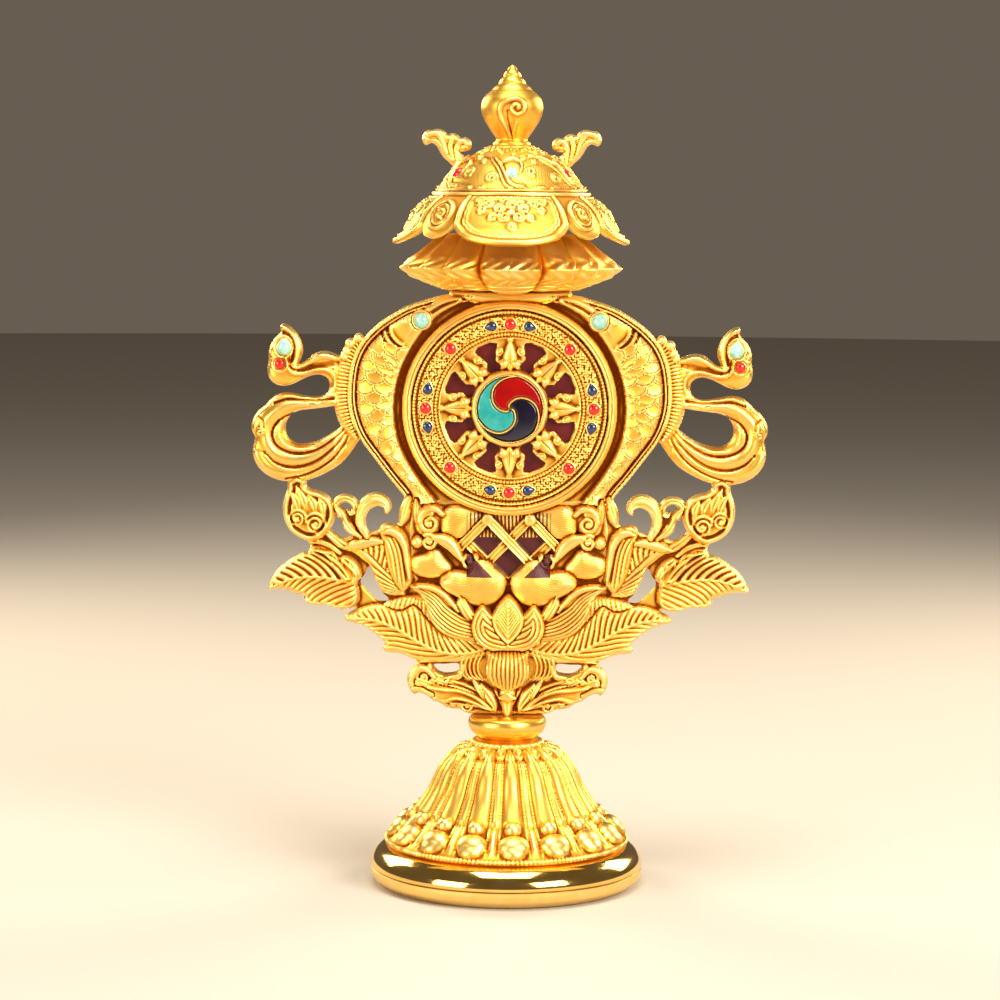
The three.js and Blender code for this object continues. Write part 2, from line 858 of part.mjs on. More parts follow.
function canopyStones() {
  const tilt = THREE.MathUtils.degToRad(44);
  for (let i = 0; i < 6; i++) {
    const angle = (i * Math.PI) / 3;
    const outward = new THREE.Vector3(Math.sin(angle), -Math.cos(angle), 0);
    const normal = outward.clone().multiplyScalar(Math.cos(tilt)).setZ(Math.sin(tilt));
    const seat = outward.clone().multiplyScalar(14.9).setZ(177.7).addScaledVector(normal, 0.35);
    const finish = i % 2 ? CORAL : TURQUOISE;
    stone(`canopy_${i % 2 ? "coral" : "turquoise"}_${Math.floor(i / 2) + 1}`, finish, seat, normal, 1.6);
  }
}

plinth();
foot();
collar();
body();
wheel();
hubEnamel();
canopy();
valance();
finial();
wheelStones();
bodyStones();
canopyStones();

export default ornament;
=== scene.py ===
"""Blender scene of a gilt altar ornament that joins the eight auspicious signs.

A parasol with a conch finial stands over a pair of fish bent round a stone-set wheel, with ribbons, an
endless knot, clouds, a lotus and leaves below, on a fluted bell foot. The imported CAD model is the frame,
and the chased castings are cut here as fine relief that keeps the form of the faceted solids.
Sizes are in millimetres, +Z is up and the front faces -Y, until a mesh is made in metres.
"""

import logging
import math
from collections.abc import Callable, Sequence
from dataclasses import dataclass, field
from enum import Enum

import bmesh
import bpy
import numpy as np
from mathutils import Matrix, Vector


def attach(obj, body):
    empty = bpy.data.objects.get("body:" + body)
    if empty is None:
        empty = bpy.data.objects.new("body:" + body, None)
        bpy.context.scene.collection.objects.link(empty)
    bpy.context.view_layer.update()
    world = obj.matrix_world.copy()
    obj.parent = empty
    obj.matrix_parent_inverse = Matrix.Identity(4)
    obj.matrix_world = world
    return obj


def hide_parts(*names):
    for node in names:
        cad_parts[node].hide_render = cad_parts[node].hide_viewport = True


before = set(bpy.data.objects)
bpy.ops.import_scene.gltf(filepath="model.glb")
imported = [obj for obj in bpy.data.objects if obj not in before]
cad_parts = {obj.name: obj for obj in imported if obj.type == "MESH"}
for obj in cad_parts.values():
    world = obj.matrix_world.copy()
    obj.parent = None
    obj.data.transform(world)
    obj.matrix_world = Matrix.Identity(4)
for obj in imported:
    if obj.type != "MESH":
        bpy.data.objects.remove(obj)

LOG = logging.getLogger("ornament")
Array = np.ndarray
Point = tuple[float, ...]
Line = Sequence[Point]

MM = 0.001
TAU = 2.0 * math.pi
SEED = 8108


# Curves and small shaping functions


def unit(t: Array | float) -> Array:
    """Clips to the range from 0 to 1."""
    return np.clip(t, 0.0, 1.0)


def eased(t: Array | float) -> Array:
    """Smooth step from 0 to 1."""
    t = unit(t)
    return t * t * (3.0 - 2.0 * t)


def mound(distance: Array, half: float) -> Array:
    """Round bump: 1 at distance 0 and 0 from half outwards."""
    return unit(1.0 - (distance / half) ** 2) ** 2


def quarter_round(t: Array | float) -> Array:
    """Quarter circle that rises from 0 at t = 0 to 1 at t = 1."""
    return np.sqrt(unit(1.0 - (1.0 - unit(t)) ** 2))


def cord(phase: Array) -> Array:
    """Row of round lobes, 1 on each lobe and 0 between them, one lobe for each whole phase."""
    return np.abs(np.sin(math.pi * phase)) ** 0.7


def groove(phase: Array, sharpness: float = 4.0) -> Array:
    """Row of narrow grooves: 1 in each groove, at whole phases, and 0 between them."""
    return (0.5 + 0.5 * np.cos(TAU * phase)) ** sharpness


def smooth_line(points: Line, spacing: float = 0.6, closed: bool = False) -> Array:
    """Runs a Catmull-Rom curve through points and samples it evenly.

    Args:
        points: rows of equal width, of which the first two columns are the place in the plane.
        spacing: distance between the samples, in mm.
        closed: whether the curve goes back to its first point.

    Returns:
        An array of samples with the same columns.
    """
    rows = np.array(points, float)
    if closed:
        ends = np.vstack([rows[-1:], rows, rows[:2]])
    else:
        ends = np.vstack([2 * rows[0] - rows[1], rows, 2 * rows[-1] - rows[-2]])
    t = np.linspace(0.0, 1.0, 24, endpoint=False)[:, None]
    pieces = []
    for a, b, c, d in zip(ends[:-3], ends[1:-2], ends[2:-1], ends[3:]):
        pieces.append(
            0.5 * (2 * b + (c - a) * t + (2 * a - 5 * b + 4 * c - d) * t**2 + (3 * b - a - 3 * c + d) * t**3)
        )
    dense = np.vstack(pieces + [ends[-2:-1]])
    gone = np.r_[0.0, np.cumsum(np.hypot(*np.diff(dense[:, :2], axis=0).T))]
    count = max(3, int(gone[-1] / spacing) + 1)
    at = np.linspace(0.0, gone[-1], count)
    return np.stack([np.interp(at, gone, column) for column in dense.T], axis=1)


def spiral(centre: Point, radius: float, turns: float, start: float, sense: float = 1.0, inner: float = 0.25) -> Line:
    """Points of a spiral that winds in from radius to its eye.

    Args:
        centre: the eye, as (x, z).
        radius: outer radius in mm.
        turns: number of turns.
        start: angle of the outer end in degrees, anticlockwise from +X.
        sense: 1 winds anticlockwise on the way in, -1 clockwise.
        inner: share of the radius left at the eye.

    Returns:
        A list of (x, z) points.
    """
    count = max(8, int(turns * 12))
    points = []
    for i in range(count + 1):
        t = i / count
        angle = math.radians(start) + sense * TAU * turns * t
        r = radius * (1.0 - (1.0 - inner) * t)
        points.append((centre[0] + r * math.cos(angle), centre[1] + r * math.sin(angle)))
    return points


def blurred(values: Array, cells: int, wrap: bool = False) -> Array:
    """Box blur over a square of 2 * cells + 1 cells, twice.

    Args:
        values: a 2-D array.
        cells: half width of the box.
        wrap: whether the second axis goes round.

    Returns:
        The blurred array.
    """
    out = values
    for _ in range(2):
        for axis in (0, 1):
            mode = "wrap" if wrap and axis == 1 else "edge"
            pad = [(0, 0), (0, 0)]
            pad[axis] = (cells + 1, cells)
            total = np.cumsum(np.pad(out, pad, mode=mode), axis=axis)
            width = 2 * cells + 1
            high = np.take(total, range(width, total.shape[axis]), axis=axis)
            low = np.take(total, range(0, total.shape[axis] - width), axis=axis)
            out = (high - low) / width
    return out


# Relief sheets


@dataclass
class Stroke:
    """What a stroke along a line says about the grid points round it."""

    box: tuple[slice, slice]
    along: Array
    across: Array
    half: Array
    inside: Array
    length: float

    @property
    def depth(self) -> Array:
        """0 at the stroke's outline and 1 on its middle line."""
        return unit(self.inside / np.maximum(self.half, 1e-3))

    @property
    def side(self) -> Array:
        """Distance across, as a share of the half width: -1 to 1."""
        return np.clip(self.across / np.maximum(self.half, 1e-3), -1.0, 1.0)


class Sheet:
    """Height field of a casting over the XZ plane, with an outline of its own.

    front holds the height towards the viewer, edge the distance inside the outline, and paint the share of
    lacquer. A mirrored sheet is worked on its right half only.
    """

    def __init__(self, low: Point, high: Point, step: float, mirrored: bool = False) -> None:
        """Lays out the grid.

        Args:
            low: lowest (x, z) in mm.
            high: highest (x, z) in mm.
            step: grid pitch in mm.
            mirrored: whether the left half is a mirror image of the right one.
        """
        self.step = step
        self.mirrored = mirrored
        xs = np.arange(0.0 if mirrored else low[0], high[0] + step, step)
        zs = np.arange(low[1], high[1] + step, step)
        self.x, self.z = np.meshgrid(xs, zs)
        self.front = np.full(self.x.shape, -5.0)
        self.edge = np.full(self.x.shape, -5.0)
        self.paint = np.zeros(self.x.shape)

    def box_round(self, points: Array, reach: float) -> tuple[slice, slice]:
        """The part of the grid round some points."""
        x0, x1 = points[:, 0].min() - reach, points[:, 0].max() + reach
        z0, z1 = points[:, 1].min() - reach, points[:, 1].max() + reach
        return slice(*np.searchsorted(self.z[:, 0], [z0, z1])), slice(*np.searchsorted(self.x[0], [x0, x1]))

    def stroke(self, line: Line, margin: float = 0.6, box: tuple[slice, slice] | None = None) -> Stroke:
        """Measures the grid round a line of (x, z, half width) points.

        Args:
            line: the points.
            margin: how far beyond the half width the measures reach, in mm.
            box: the part of the grid to measure, or None for the part round the line.

        Returns:
            The measures.
        """
        rows = smooth_line(line)
        lines, cols = box or self.box_round(rows, rows[:, 2].max() + margin)
        px, pz = self.x[lines, cols].ravel(), self.z[lines, cols].ravel()
        a, b = rows[:-1], rows[1:]
        dx, dz = (b - a)[:, 0:1], (b - a)[:, 1:2]
        span = np.maximum(dx**2 + dz**2, 1e-9)
        rx, rz = px[None, :] - a[:, 0:1], pz[None, :] - a[:, 1:2]
        t = unit((rx * dx + rz * dz) / span)
        away = np.hypot(rx - t * dx, rz - t * dz)
        nearest = away.argmin(axis=0)
        pick = (nearest, np.arange(px.size))
        t, away = t[pick], away[pick]
        sign = np.sign((dx * rz - dz * rx)[pick])
        segment = np.sqrt(span[:, 0])
        gone = np.r_[0.0, np.cumsum(segment)]
        half = a[nearest, 2] + t * (b - a)[nearest, 2]
        shape = self.x[lines, cols].shape
        return Stroke(
            box=(lines, cols),
            along=(gone[nearest] + t * segment[nearest]).reshape(shape),
            across=(sign * away).reshape(shape),
            half=half.reshape(shape),
            inside=(half - away).reshape(shape),
            length=float(gone[-1]),
        )

    def lay(self, stroke: Stroke, height: Array, over: bool = False, outline: bool = True) -> None:
        """Lays a stroke's height on the sheet.

        Args:
            stroke: where.
            height: the height over the stroke's part of the grid.
            over: True covers what lies there, False keeps the higher of the two.
            outline: whether the stroke widens the sheet's outline.
        """
        part = self.front[stroke.box]
        within = stroke.inside > 0
        part[within] = height[within] if over else np.maximum(part[within], height[within])
        if outline:
            np.maximum(self.edge[stroke.box], stroke.inside, out=self.edge[stroke.box])

    def line(self, line: Line, half: float, height: float) -> None:
        """Raises, or with a negative height cuts, a thin line into what is there.

        Args:
            line: (x, z) points, or (x, z, share of the half width) points.
            half: half width in mm.
            height: height in mm.
        """
        points = [(p[0], p[1], half * (p[2] if len(p) > 2 else 1.0)) for p in line]
        s = self.stroke(points, margin=0.2)
        self.front[s.box] += height * np.where(s.inside > 0, (1.0 - (1.0 - s.depth) ** 2) ** 1.5, 0.0)

    def ball(self, x: float, z: float, radius: float, height: float, base: float, outline: bool = True) -> None:
        """Sets a low dome on the sheet.

        Args:
            x: centre.
            z: centre.
            radius: in mm.
            height: height of the top above base.
            base: height of the foot.
            outline: whether it widens the sheet's outline.
        """
        s = self.stroke([(x - 0.02, z, radius), (x + 0.02, z, radius)])
        self.lay(s, base + height * quarter_round(s.depth), outline=outline)

    def cut_out(self, line: Line) -> None:
        """Cuts a stroke-shaped opening right through the sheet."""
        s = self.stroke(line)
        np.minimum(self.edge[s.box], -s.inside, out=self.edge[s.box])

    def area(self, outline: Line, rounded: bool = True) -> tuple[tuple[slice, slice], Array]:
        """Distance inside a closed outline, over the part of the grid round it.

        Args:
            outline: corners as (x, z).
            rounded: whether a smooth curve runs through the corners.

        Returns:
            The part of the grid and the distances.
        """
        corners = np.array(outline, float)[:, :2]
        if rounded:
            corners = smooth_line(corners, 0.5, closed=True)[:-1]
        box = self.box_round(corners, 1.0)
        return box, polygon_distance(self.x[box], self.z[box], corners)

    def plate(self, outline: Line, height: float, rounded: bool = False) -> None:
        """Lays a flat web with a closed outline."""
        box, distance = self.area(outline, rounded)
        self.front[box] = np.where(distance > 0, np.maximum(self.front[box], height), self.front[box])
        np.maximum(self.edge[box], distance, out=self.edge[box])

    def opening(self, outline: Line) -> None:
        """Cuts an opening right through the sheet."""
        box, distance = self.area(outline)
        np.minimum(self.edge[box], -distance, out=self.edge[box])

    def whole(self, values: Array, odd: bool = False) -> Array:
        """The array over the full width, with the left half mirrored in."""
        if not self.mirrored:
            return values
        left = values[:, :0:-1]
        return np.hstack([-left if odd else left, values])


def polygon_distance(x: Array, z: Array, outline: Line) -> Array:
    """Signed distance to a closed polygon, positive inside.

    Args:
        x: places.
        z: places.
        outline: corners as (x, z).

    Returns:
        The distances.
    """
    corners = np.array(outline, float)[:, :2]
    best = np.full(x.shape, 1e9)
    inside = np.zeros(x.shape, bool)
    for (x0, z0), (x1, z1) in zip(corners, np.roll(corners, -1, axis=0)):
        dx, dz = x1 - x0, z1 - z0
        t = unit(((x - x0) * dx + (z - z0) * dz) / max(dx * dx + dz * dz, 1e-9))
        best = np.minimum(best, np.hypot(x - x0 - t * dx, z - z0 - t * dz))
        if z0 != z1:
            crosses = ((z0 > z) != (z1 > z)) & (x < x0 + (z - z0) * dx / dz)
            inside ^= crosses
    return np.where(inside, best, -best)


# Mesh making


def new_mesh(name: str, places: Array, faces: Sequence[Array], values: dict[str, Array]) -> bpy.types.Object:
    """Makes a mesh object from arrays.

    Args:
        name: the piece's name.
        places: vertex places in mm.
        faces: arrays of equal-sided faces, one row of vertex numbers each.
        values: named vertex attributes.

    Returns:
        The object.
    """
    used = np.unique(np.concatenate([f.ravel() for f in faces]))
    renumber = np.full(len(places), -1)
    renumber[used] = np.arange(used.size)
    mesh = bpy.data.meshes.new(name)
    mesh.vertices.add(used.size)
    mesh.vertices.foreach_set("co", (places[used] * MM).astype(np.float32).ravel())
    corners = np.concatenate([renumber[f].ravel() for f in faces])
    sides = np.concatenate([np.full(len(f), f.shape[1]) for f in faces])
    mesh.loops.add(corners.size)
    mesh.loops.foreach_set("vertex_index", corners.astype(np.int32))
    mesh.polygons.add(sides.size)
    mesh.polygons.foreach_set("loop_start", np.r_[0, np.cumsum(sides)[:-1]].astype(np.int32))
    for key, array in values.items():
        layer = mesh.attributes.new(key, "FLOAT", "POINT")
        layer.data.foreach_set("value", array.ravel()[used].astype(np.float32))
    mesh.update(calc_edges=True)
    mesh.validate()
    mesh.shade_smooth()
    made = bpy.data.objects.new(name, mesh)
    bpy.context.collection.objects.link(made)
    return made


def tidy_cells(keep: Array) -> Array:
    """Drops the cells that touch others of the sheet only by a corner."""
    keep = keep.copy()
    for _ in range(4):
        a, b, c, d = keep[:-1, :-1], keep[:-1, 1:], keep[1:, :-1], keep[1:, 1:]
        rising = a & d & ~b & ~c
        falling = b & c & ~a & ~d
        if not (rising.any() or falling.any()):
            break
        keep[:-1, :-1] &= ~rising
        keep[:-1, 1:] &= ~falling
    return keep


def sheet_faces(keep: Array, height: Array, number: Array, flat: float) -> list[Array]:
    """Faces of one side of a sheet, with blocks of four cells made one face where they are flat.

    Args:
        keep: which cells are there.
        height: height at the grid points.
        number: vertex number of each grid point.
        flat: largest height lost in a merged block, in mm.

    Returns:
        Arrays of faces with four to eight sides, anticlockwise as seen from the front.
    """
    rows, cols = (keep.shape[0] // 2) * 2, (keep.shape[1] // 2) * 2
    solid = np.pad(keep, 1)
    near = np.ones_like(keep)
    for i in range(3):
        for j in range(3):
            near &= solid[i : i + keep.shape[0], j : j + keep.shape[1]]

    def corner(array: Array, i: int, j: int) -> Array:
        return array[i : i + rows : 2, j : j + cols : 2][: rows // 2, : cols // 2]

    block = corner(near, 0, 0) & corner(near, 0, 1) & corner(near, 1, 0) & corner(near, 1, 1)
    h = {(i, j): corner(height, i, j) for i in range(3) for j in range(3)}
    h = {key: value[: rows // 2, : cols // 2] for key, value in h.items()}
    loss = np.abs(h[1, 1] - (h[0, 0] + h[0, 2] + h[2, 0] + h[2, 2]) / 4)
    for a, b, c in (((0, 1), (0, 0), (0, 2)), ((2, 1), (2, 0), (2, 2)), ((1, 0), (0, 0), (2, 0)), ((1, 2), (0, 2), (2, 2))):
        loss = np.maximum(loss, np.abs(h[a] - (h[b] + h[c]) / 2))
    block &= loss < flat
    fine = keep.copy()
    fine[:rows, :cols] &= ~np.kron(block, np.ones((2, 2), bool))
    i, j = np.nonzero(fine)
    faces = [np.stack([number[i, j], number[i, j + 1], number[i + 1, j + 1], number[i + 1, j]], axis=1)]
    around = np.pad(block, 1)
    sides = {
        "low": ~around[:-2, 1:-1],
        "right": ~around[1:-1, 2:],
        "high": ~around[2:, 1:-1],
        "left": ~around[1:-1, :-2],
    }
    code = sum(sides[name].astype(int) << k for k, name in enumerate(("low", "right", "high", "left")))
    ring = [(0, 0, None), (0, 1, 0), (0, 2, None), (1, 2, 1), (2, 2, None), (2, 1, 2), (2, 0, None), (1, 0, 3)]
    for value in range(16):
        i, j = np.nonzero(block & (code == value))
        if i.size:
            chosen = [(p, q) for p, q, bit in ring if bit is None or value >> bit & 1]
            faces.append(np.stack([number[2 * i + p, 2 * j + q] for p, q in chosen], axis=1))
    return faces


@dataclass(frozen=True)
class Rounding:
    """How a sheet's rim is rounded and how thick its back is."""

    radius: float = 0.6
    back: float = 1.9
    carving: float = 0.22
    flat: float = 0.006


def cast(name: str, sheet: Sheet, rounding: Rounding, side: int = 1) -> bpy.types.Object:
    """Makes the closed casting of a sheet: front, rounded rim and plainer back.

    Args:
        name: the piece's name.
        sheet: the finished sheet.
        rounding: its rim and back.
        side: 1 as drawn, -1 mirrored to the left.

    Returns:
        The object, with cavity and paint attributes.
    """
    step = sheet.step
    x, z = sheet.whole(sheet.x, odd=True), sheet.whole(sheet.z)
    front, edge, paint = sheet.whole(sheet.front), sheet.whole(sheet.edge), sheet.whole(sheet.paint)
    keep = (edge[:-1, :-1] > 0) & (edge[:-1, 1:] > 0) & (edge[1:, :-1] > 0) & (edge[1:, 1:] > 0)
    keep = tidy_cells(keep)
    solid = np.pad(keep, 1)
    touching = solid[:-1, :-1].astype(int) + solid[:-1, 1:] + solid[1:, :-1] + solid[1:, 1:]
    rim = (touching > 0) & (touching < 4)
    gz, gx = np.gradient(edge, step)
    slope = np.maximum(gx**2 + gz**2, 0.25)
    shift = np.clip(np.where(rim, edge, 0.0) / slope, 0.0, step)
    turn = quarter_round(edge / rounding.radius)
    calm = blurred(np.where(edge > 0, front, 0.0), max(1, int(1.0 / step)))
    out = front * turn
    behind = (rounding.back + rounding.carving * np.minimum(calm, 4.0)) * turn
    out = np.where(rim, 0.0, out)
    behind = np.where(rim, 0.0, behind)
    # cavity is 0.5 on the flat, higher in hollows and lower on raised work; the gilt paints shade in the hollows and a
    # highlight on the raised work from it.
    cavity = np.clip((blurred(front, max(1, int(0.7 / step))) - front) * 1.6 + 0.5, 0.0, 1.0)
    number = np.arange(x.size).reshape(x.shape)
    place_x, place_z = x - shift * gx, z - shift * gz
    places = np.concatenate(
        [
            np.stack([place_x, -out, place_z], axis=-1).reshape(-1, 3),
            np.stack([place_x, behind, place_z], axis=-1).reshape(-1, 3),
        ]
    )
    flat = rounding.flat
    faces = sheet_faces(keep, out, number, flat)
    backs = [f[:, ::-1] + x.size for f in sheet_faces(keep, behind, number, flat * 2)]
    # The rim's points are one and the same on both sides, so front and back close without a wall.
    faces += backs
    places[:, 0] *= side
    if side < 0:
        faces = [f[:, ::-1] for f in faces]
    merge = np.arange(2 * x.size)
    merge[x.size :][rim.ravel()] = np.arange(x.size)[rim.ravel()]
    faces = [merge[f] for f in faces]
    values = {"cavity": np.r_[cavity.ravel(), np.full(x.size, 0.5)], "paint": np.r_[paint.ravel(), np.zeros(x.size)]}
    return new_mesh(name, places, faces, values)


def turned_mesh(name: str, radius: Array, height: Array, values: dict[str, Array]) -> bpy.types.Object:
    """Makes a closed piece round Z from a grid of radii and heights.

    Args:
        name: the piece's name.
        radius: radii in mm, one row for each height and one column for each angle; column 0 faces the front.
        height: heights in mm, on the same grid.
        values: named attributes on the same grid.

    Returns:
        The object.
    """
    rows, cols = radius.shape
    angle = np.linspace(0.0, TAU, cols, endpoint=False)[None, :]
    places = np.stack([radius * np.sin(angle), -radius * np.cos(angle), height], axis=-1).reshape(-1, 3)
    low = [0.0, 0.0, float(height[0].mean())]
    high = [0.0, 0.0, float(height[-1].mean())]
    places = np.vstack([places, low, high])
    number = np.arange(rows * cols).reshape(rows, cols)
    beside = np.roll(number, -1, axis=1)
    around = np.stack([number[:-1], beside[:-1], beside[1:], number[1:]], axis=-1).reshape(-1, 4)
    bottom = np.stack([np.full(cols, rows * cols), beside[0], number[0]], axis=1)
    top = np.stack([np.full(cols, rows * cols + 1), number[-1], beside[-1]], axis=1)
    padded = {key: np.r_[array.ravel(), 0.5, 0.5] for key, array in values.items()}
    return new_mesh(name, places, [around, bottom, top], padded)


# Chased forms that the castings share


@dataclass(frozen=True)
class Chasing:
    """How a petal or leaf is domed, bordered and veined. Lengths and heights are in mm."""

    base: float = 1.6
    crown: float = 1.4
    tip_drop: float = 0.0
    rim: float = 0.0
    rim_width: float = 0.9
    midrib: float = 0.0
    midrib_width: float = 0.5
    vein_depth: float = 0.0
    vein_pitch: float = 1.8
    vein_lean: float = 1.0
    puff: float = 0.0
    stripes: int = 0
    stripe_depth: float = 0.35
    sharpness: float = 3.0


def petal(sheet: Sheet, line: Line, how: Chasing, over: bool = True, outline: bool = True) -> Stroke:
    """Chases one petal, leaf or bar along a line of (x, z, half width) points.

    Args:
        sheet: the sheet to work.
        line: the points, from the stalk to the tip.
        how: its chasing.
        over: whether it covers what lies there.
        outline: whether it widens the sheet's outline.

    Returns:
        The measured stroke.
    """
    s = sheet.stroke(line)
    sheet.lay(s, chased(s, how, 0.5 * how.stripes * s.side), over=over, outline=outline)
    return s


def leaf(sheet: Sheet, outline: Line, spine: Line, how: Chasing, over: bool = True, reach: float = 2.5) -> Stroke:
    """Chases a leaf of any outline, with its veins or stripes laid out from a spine.

    Args:
        sheet: the sheet to work.
        outline: corners as (x, z), with a smooth curve through them.
        spine: (x, z) points from the stalk to the tip.
        how: its chasing; stripes then count the stripes in 10 mm.
        over: whether it covers what lies there.
        reach: distance from the edge over which the dome rises.

    Returns:
        The measured leaf.
    """
    box, inside = sheet.area(outline)
    s = sheet.stroke([(p[0], p[1], 1.0) for p in spine], box=box)
    s.inside, s.half = inside, np.full(inside.shape, reach)
    sheet.lay(s, chased(s, how, 0.1 * how.stripes * s.across), over=over)
    return s


def chased(s: Stroke, how: Chasing, stripe_phase: Array) -> Array:
    """Height of a chased form.

    Args:
        s: the measures of its part of the sheet.
        how: its chasing.
        stripe_phase: phase of the lengthwise stripes, whole numbers in the grooves.

    Returns:
        The heights.
    """
    reach = s.along / max(s.length, 1e-6)
    height = how.base + how.crown * quarter_round(s.depth) - how.tip_drop * reach
    field = eased((s.inside - how.rim_width * (how.rim > 0)) / 0.45)
    if how.rim:
        height = height + how.rim * mound(s.inside - 0.55 * how.rim_width, 0.62 * how.rim_width)
    from_rib = eased(np.abs(s.across) / max(how.midrib_width, 0.2) - 0.5)
    if how.vein_depth or how.puff:
        phase = (s.along - how.vein_lean * np.abs(s.across)) / how.vein_pitch
        height = height - how.vein_depth * groove(phase, how.sharpness) * field * from_rib
        height = height + how.puff * (cord(phase) - 0.6) * field * from_rib
    if how.stripes:
        fade = field * eased(reach * 6.0) * eased((1.0 - reach) * 5.0)
        height = height - how.stripe_depth * groove(stripe_phase, how.sharpness) * fade
    if how.midrib:
        height = height + how.midrib * mound(s.across, how.midrib_width)
    return height


def curl(sheet: Sheet, centre: Point, radius: float, turns: float, start: float, sense: float, base: float) -> None:
    """Lays a tapering spiral ridge with a ball at its eye.

    Args:
        sheet: the sheet to work.
        centre: the eye as (x, z).
        radius: outer radius.
        turns: number of turns.
        start: angle of the outer end in degrees.
        sense: 1 anticlockwise on the way in, -1 clockwise.
        base: height of the ridge's foot.
    """
    path = spiral(centre, radius, turns, start, sense)
    width = 0.3 * radius
    line = [(x, z, width * (1.0 - 0.45 * i / len(path))) for i, (x, z) in enumerate(path)]
    petal(sheet, line, Chasing(base=base, crown=0.42 * radius), over=False)
    sheet.ball(*centre, 0.3 * radius, 0.3 * radius, base + 0.2)


# The castings, from the middle of the ornament outwards


@dataclass
class WheelFrame:
    """The pair of fish, the ring that holds the wheel, and the pleated frills behind them."""

    centre_height: float = 119.9
    ring_outer: float = 26.8
    ring_inner: float = 24.6
    ring_height: float = 4.6
    step: float = 0.2
    scale_radius: float = 3.7
    web: float = 0.6
    outer_edge: Line = (
        (9.0, 147.6), (13.0, 148.2), (17.0, 147.8), (20.0, 147.0), (25.0, 145.4), (29.6, 142.9), (33.7, 139.9),
        (37.2, 136.0), (39.3, 131.4), (40.2, 126.0), (40.2, 120.6), (39.0, 115.6), (37.0, 111.4), (34.2, 107.6),
        (30.0, 102.1), (26.6, 98.0), (25.2, 95.6),
    )
    inner_edge: Line = (
        (10.5, 146.4), (11.6, 146.0), (15.6, 144.6), (18.4, 142.2), (21.2, 139.4), (23.6, 136.2), (25.8, 132.4),
        (27.4, 128.6), (28.4, 124.6), (28.8, 120.8), (28.7, 117.0), (28.1, 113.2), (26.9, 109.6), (25.3, 106.4),
        (22.0, 101.4), (18.0, 96.4),
    )
    frill_line: Line = (
        (36.0, 136.6, 1.0), (38.6, 134.9, 2.0), (40.4, 131.4, 2.2), (41.4, 127.0, 2.4), (41.7, 123.0, 2.4),
        (41.2, 118.6, 2.2), (40.0, 114.9, 1.7), (38.0, 111.8, 0.7),
    )

    def build(self) -> bpy.types.Object:
        """Works the sheet and casts it."""
        sheet = Sheet((0.0, 88.0), (45.0, 150.0), self.step, mirrored=True)
        self.web_and_neck(sheet)
        self.frill(sheet)
        self.fish(sheet)
        self.ring(sheet)
        return cast("wheel_frame", sheet, Rounding(back=2.0))

    def web_and_neck(self, sheet: Sheet) -> None:
        """Lays the plain web behind fish and ring, and the shoulders under the parasol."""
        outline = [(x, z) for x, z in self.outer_edge] + [(22.0, 90.5), (-3.0, 90.5), (-3.0, 147.6)]
        sheet.plate(outline, self.web)
        radius = np.hypot(sheet.x, sheet.z - self.centre_height)
        sheet.edge = np.minimum(sheet.edge, radius - (self.ring_inner - 0.9))
        neck = [(-3.0, 145.8), (-3.0, 149.0), (8.6, 149.0), (12.0, 148.6), (13.5, 147.5), (9.0, 146.0)]
        sheet.plate(neck, 2.4)
        petal(sheet, [(-1.0, 147.0, 1.2), (3.0, 147.2, 1.5), (9.0, 147.8, 1.3), (14.5, 148.2, 0.8)], Chasing(base=2.4, crown=1.4))

    def frill(self, sheet: Sheet) -> None:
        """Pleats the frill that shows outside the fish, with rolled curls at its top."""
        s = sheet.stroke(self.frill_line, margin=0.8)
        phase = s.along / 0.92
        s.inside = s.inside + 0.22 * (cord(phase) - 0.7) * (s.across > 0)
        slope = 0.5 + 0.5 * s.side
        height = 1.3 + 1.5 * quarter_round(s.depth) + 0.8 * cord(phase) * quarter_round(s.depth) - 0.5 * slope
        sheet.lay(s, height)
        for x, z, radius in ((37.6, 137.0, 1.25), (39.7, 135.6, 1.35), (40.4, 133.6, 1.1), (41.0, 132.2, 0.9)):
            sheet.ball(x, z, radius, 1.5, 2.3)

    def fish(self, sheet: Sheet) -> None:
        """Models one fish: corded rim, scaled body, gill cover, beaked head and hatched tail."""
        ring = [(x, z) for x, z in smooth_line(self.outer_edge, 1.0)]
        ring += [(x, z) for x, z in smooth_line(self.inner_edge, 1.0)[::-1]]
        inside = polygon_distance(sheet.x, sheet.z, ring)
        outer = sheet.stroke([(x, z, 18.0) for x, z in self.outer_edge])
        inner = sheet.stroke([(x, z, 18.0) for x, z in self.inner_edge])
        far = np.full(sheet.x.shape, 9.0)
        from_outer, from_inner, along = far.copy(), far.copy(), np.zeros(sheet.x.shape)
        from_outer[outer.box] = np.abs(outer.across)
        along[outer.box] = outer.along
        from_inner[inner.box] = np.abs(inner.across)
        width = np.maximum(from_outer + from_inner, 0.5)
        rim = 2.3 * unit((along - 6.0) / 8.0 + 0.5)
        t = unit((from_outer - rim) / np.maximum(width - rim, 0.3))
        height = 2.5 + 2.3 * np.sqrt(unit(1.0 - (2.0 * t - 1.0) ** 2)) * unit(width / 7.0)
        height = height + self.scales(along, t, width)
        height = height + self.tail_hatching(sheet, along)
        beads = 0.9 + 0.45 * cord(along / 0.62)
        height = np.where(from_outer < 2.15, 2.6, height)
        height = height + np.where(from_outer < 1.0, 1.0, 0.0) * beads * quarter_round(from_outer / 0.5 + 0.2)
        height = np.where(from_outer < 1.0, height - 0.3, height)
        height = height + 1.35 * mound(from_outer - 1.6, 0.42)
        height = height + 0.5 * mound(from_inner - 0.35, 0.45)
        part = inside > 0
        sheet.front[part] = height[part]
        np.maximum(sheet.edge, inside, out=sheet.edge)
        self.head(sheet, inside)

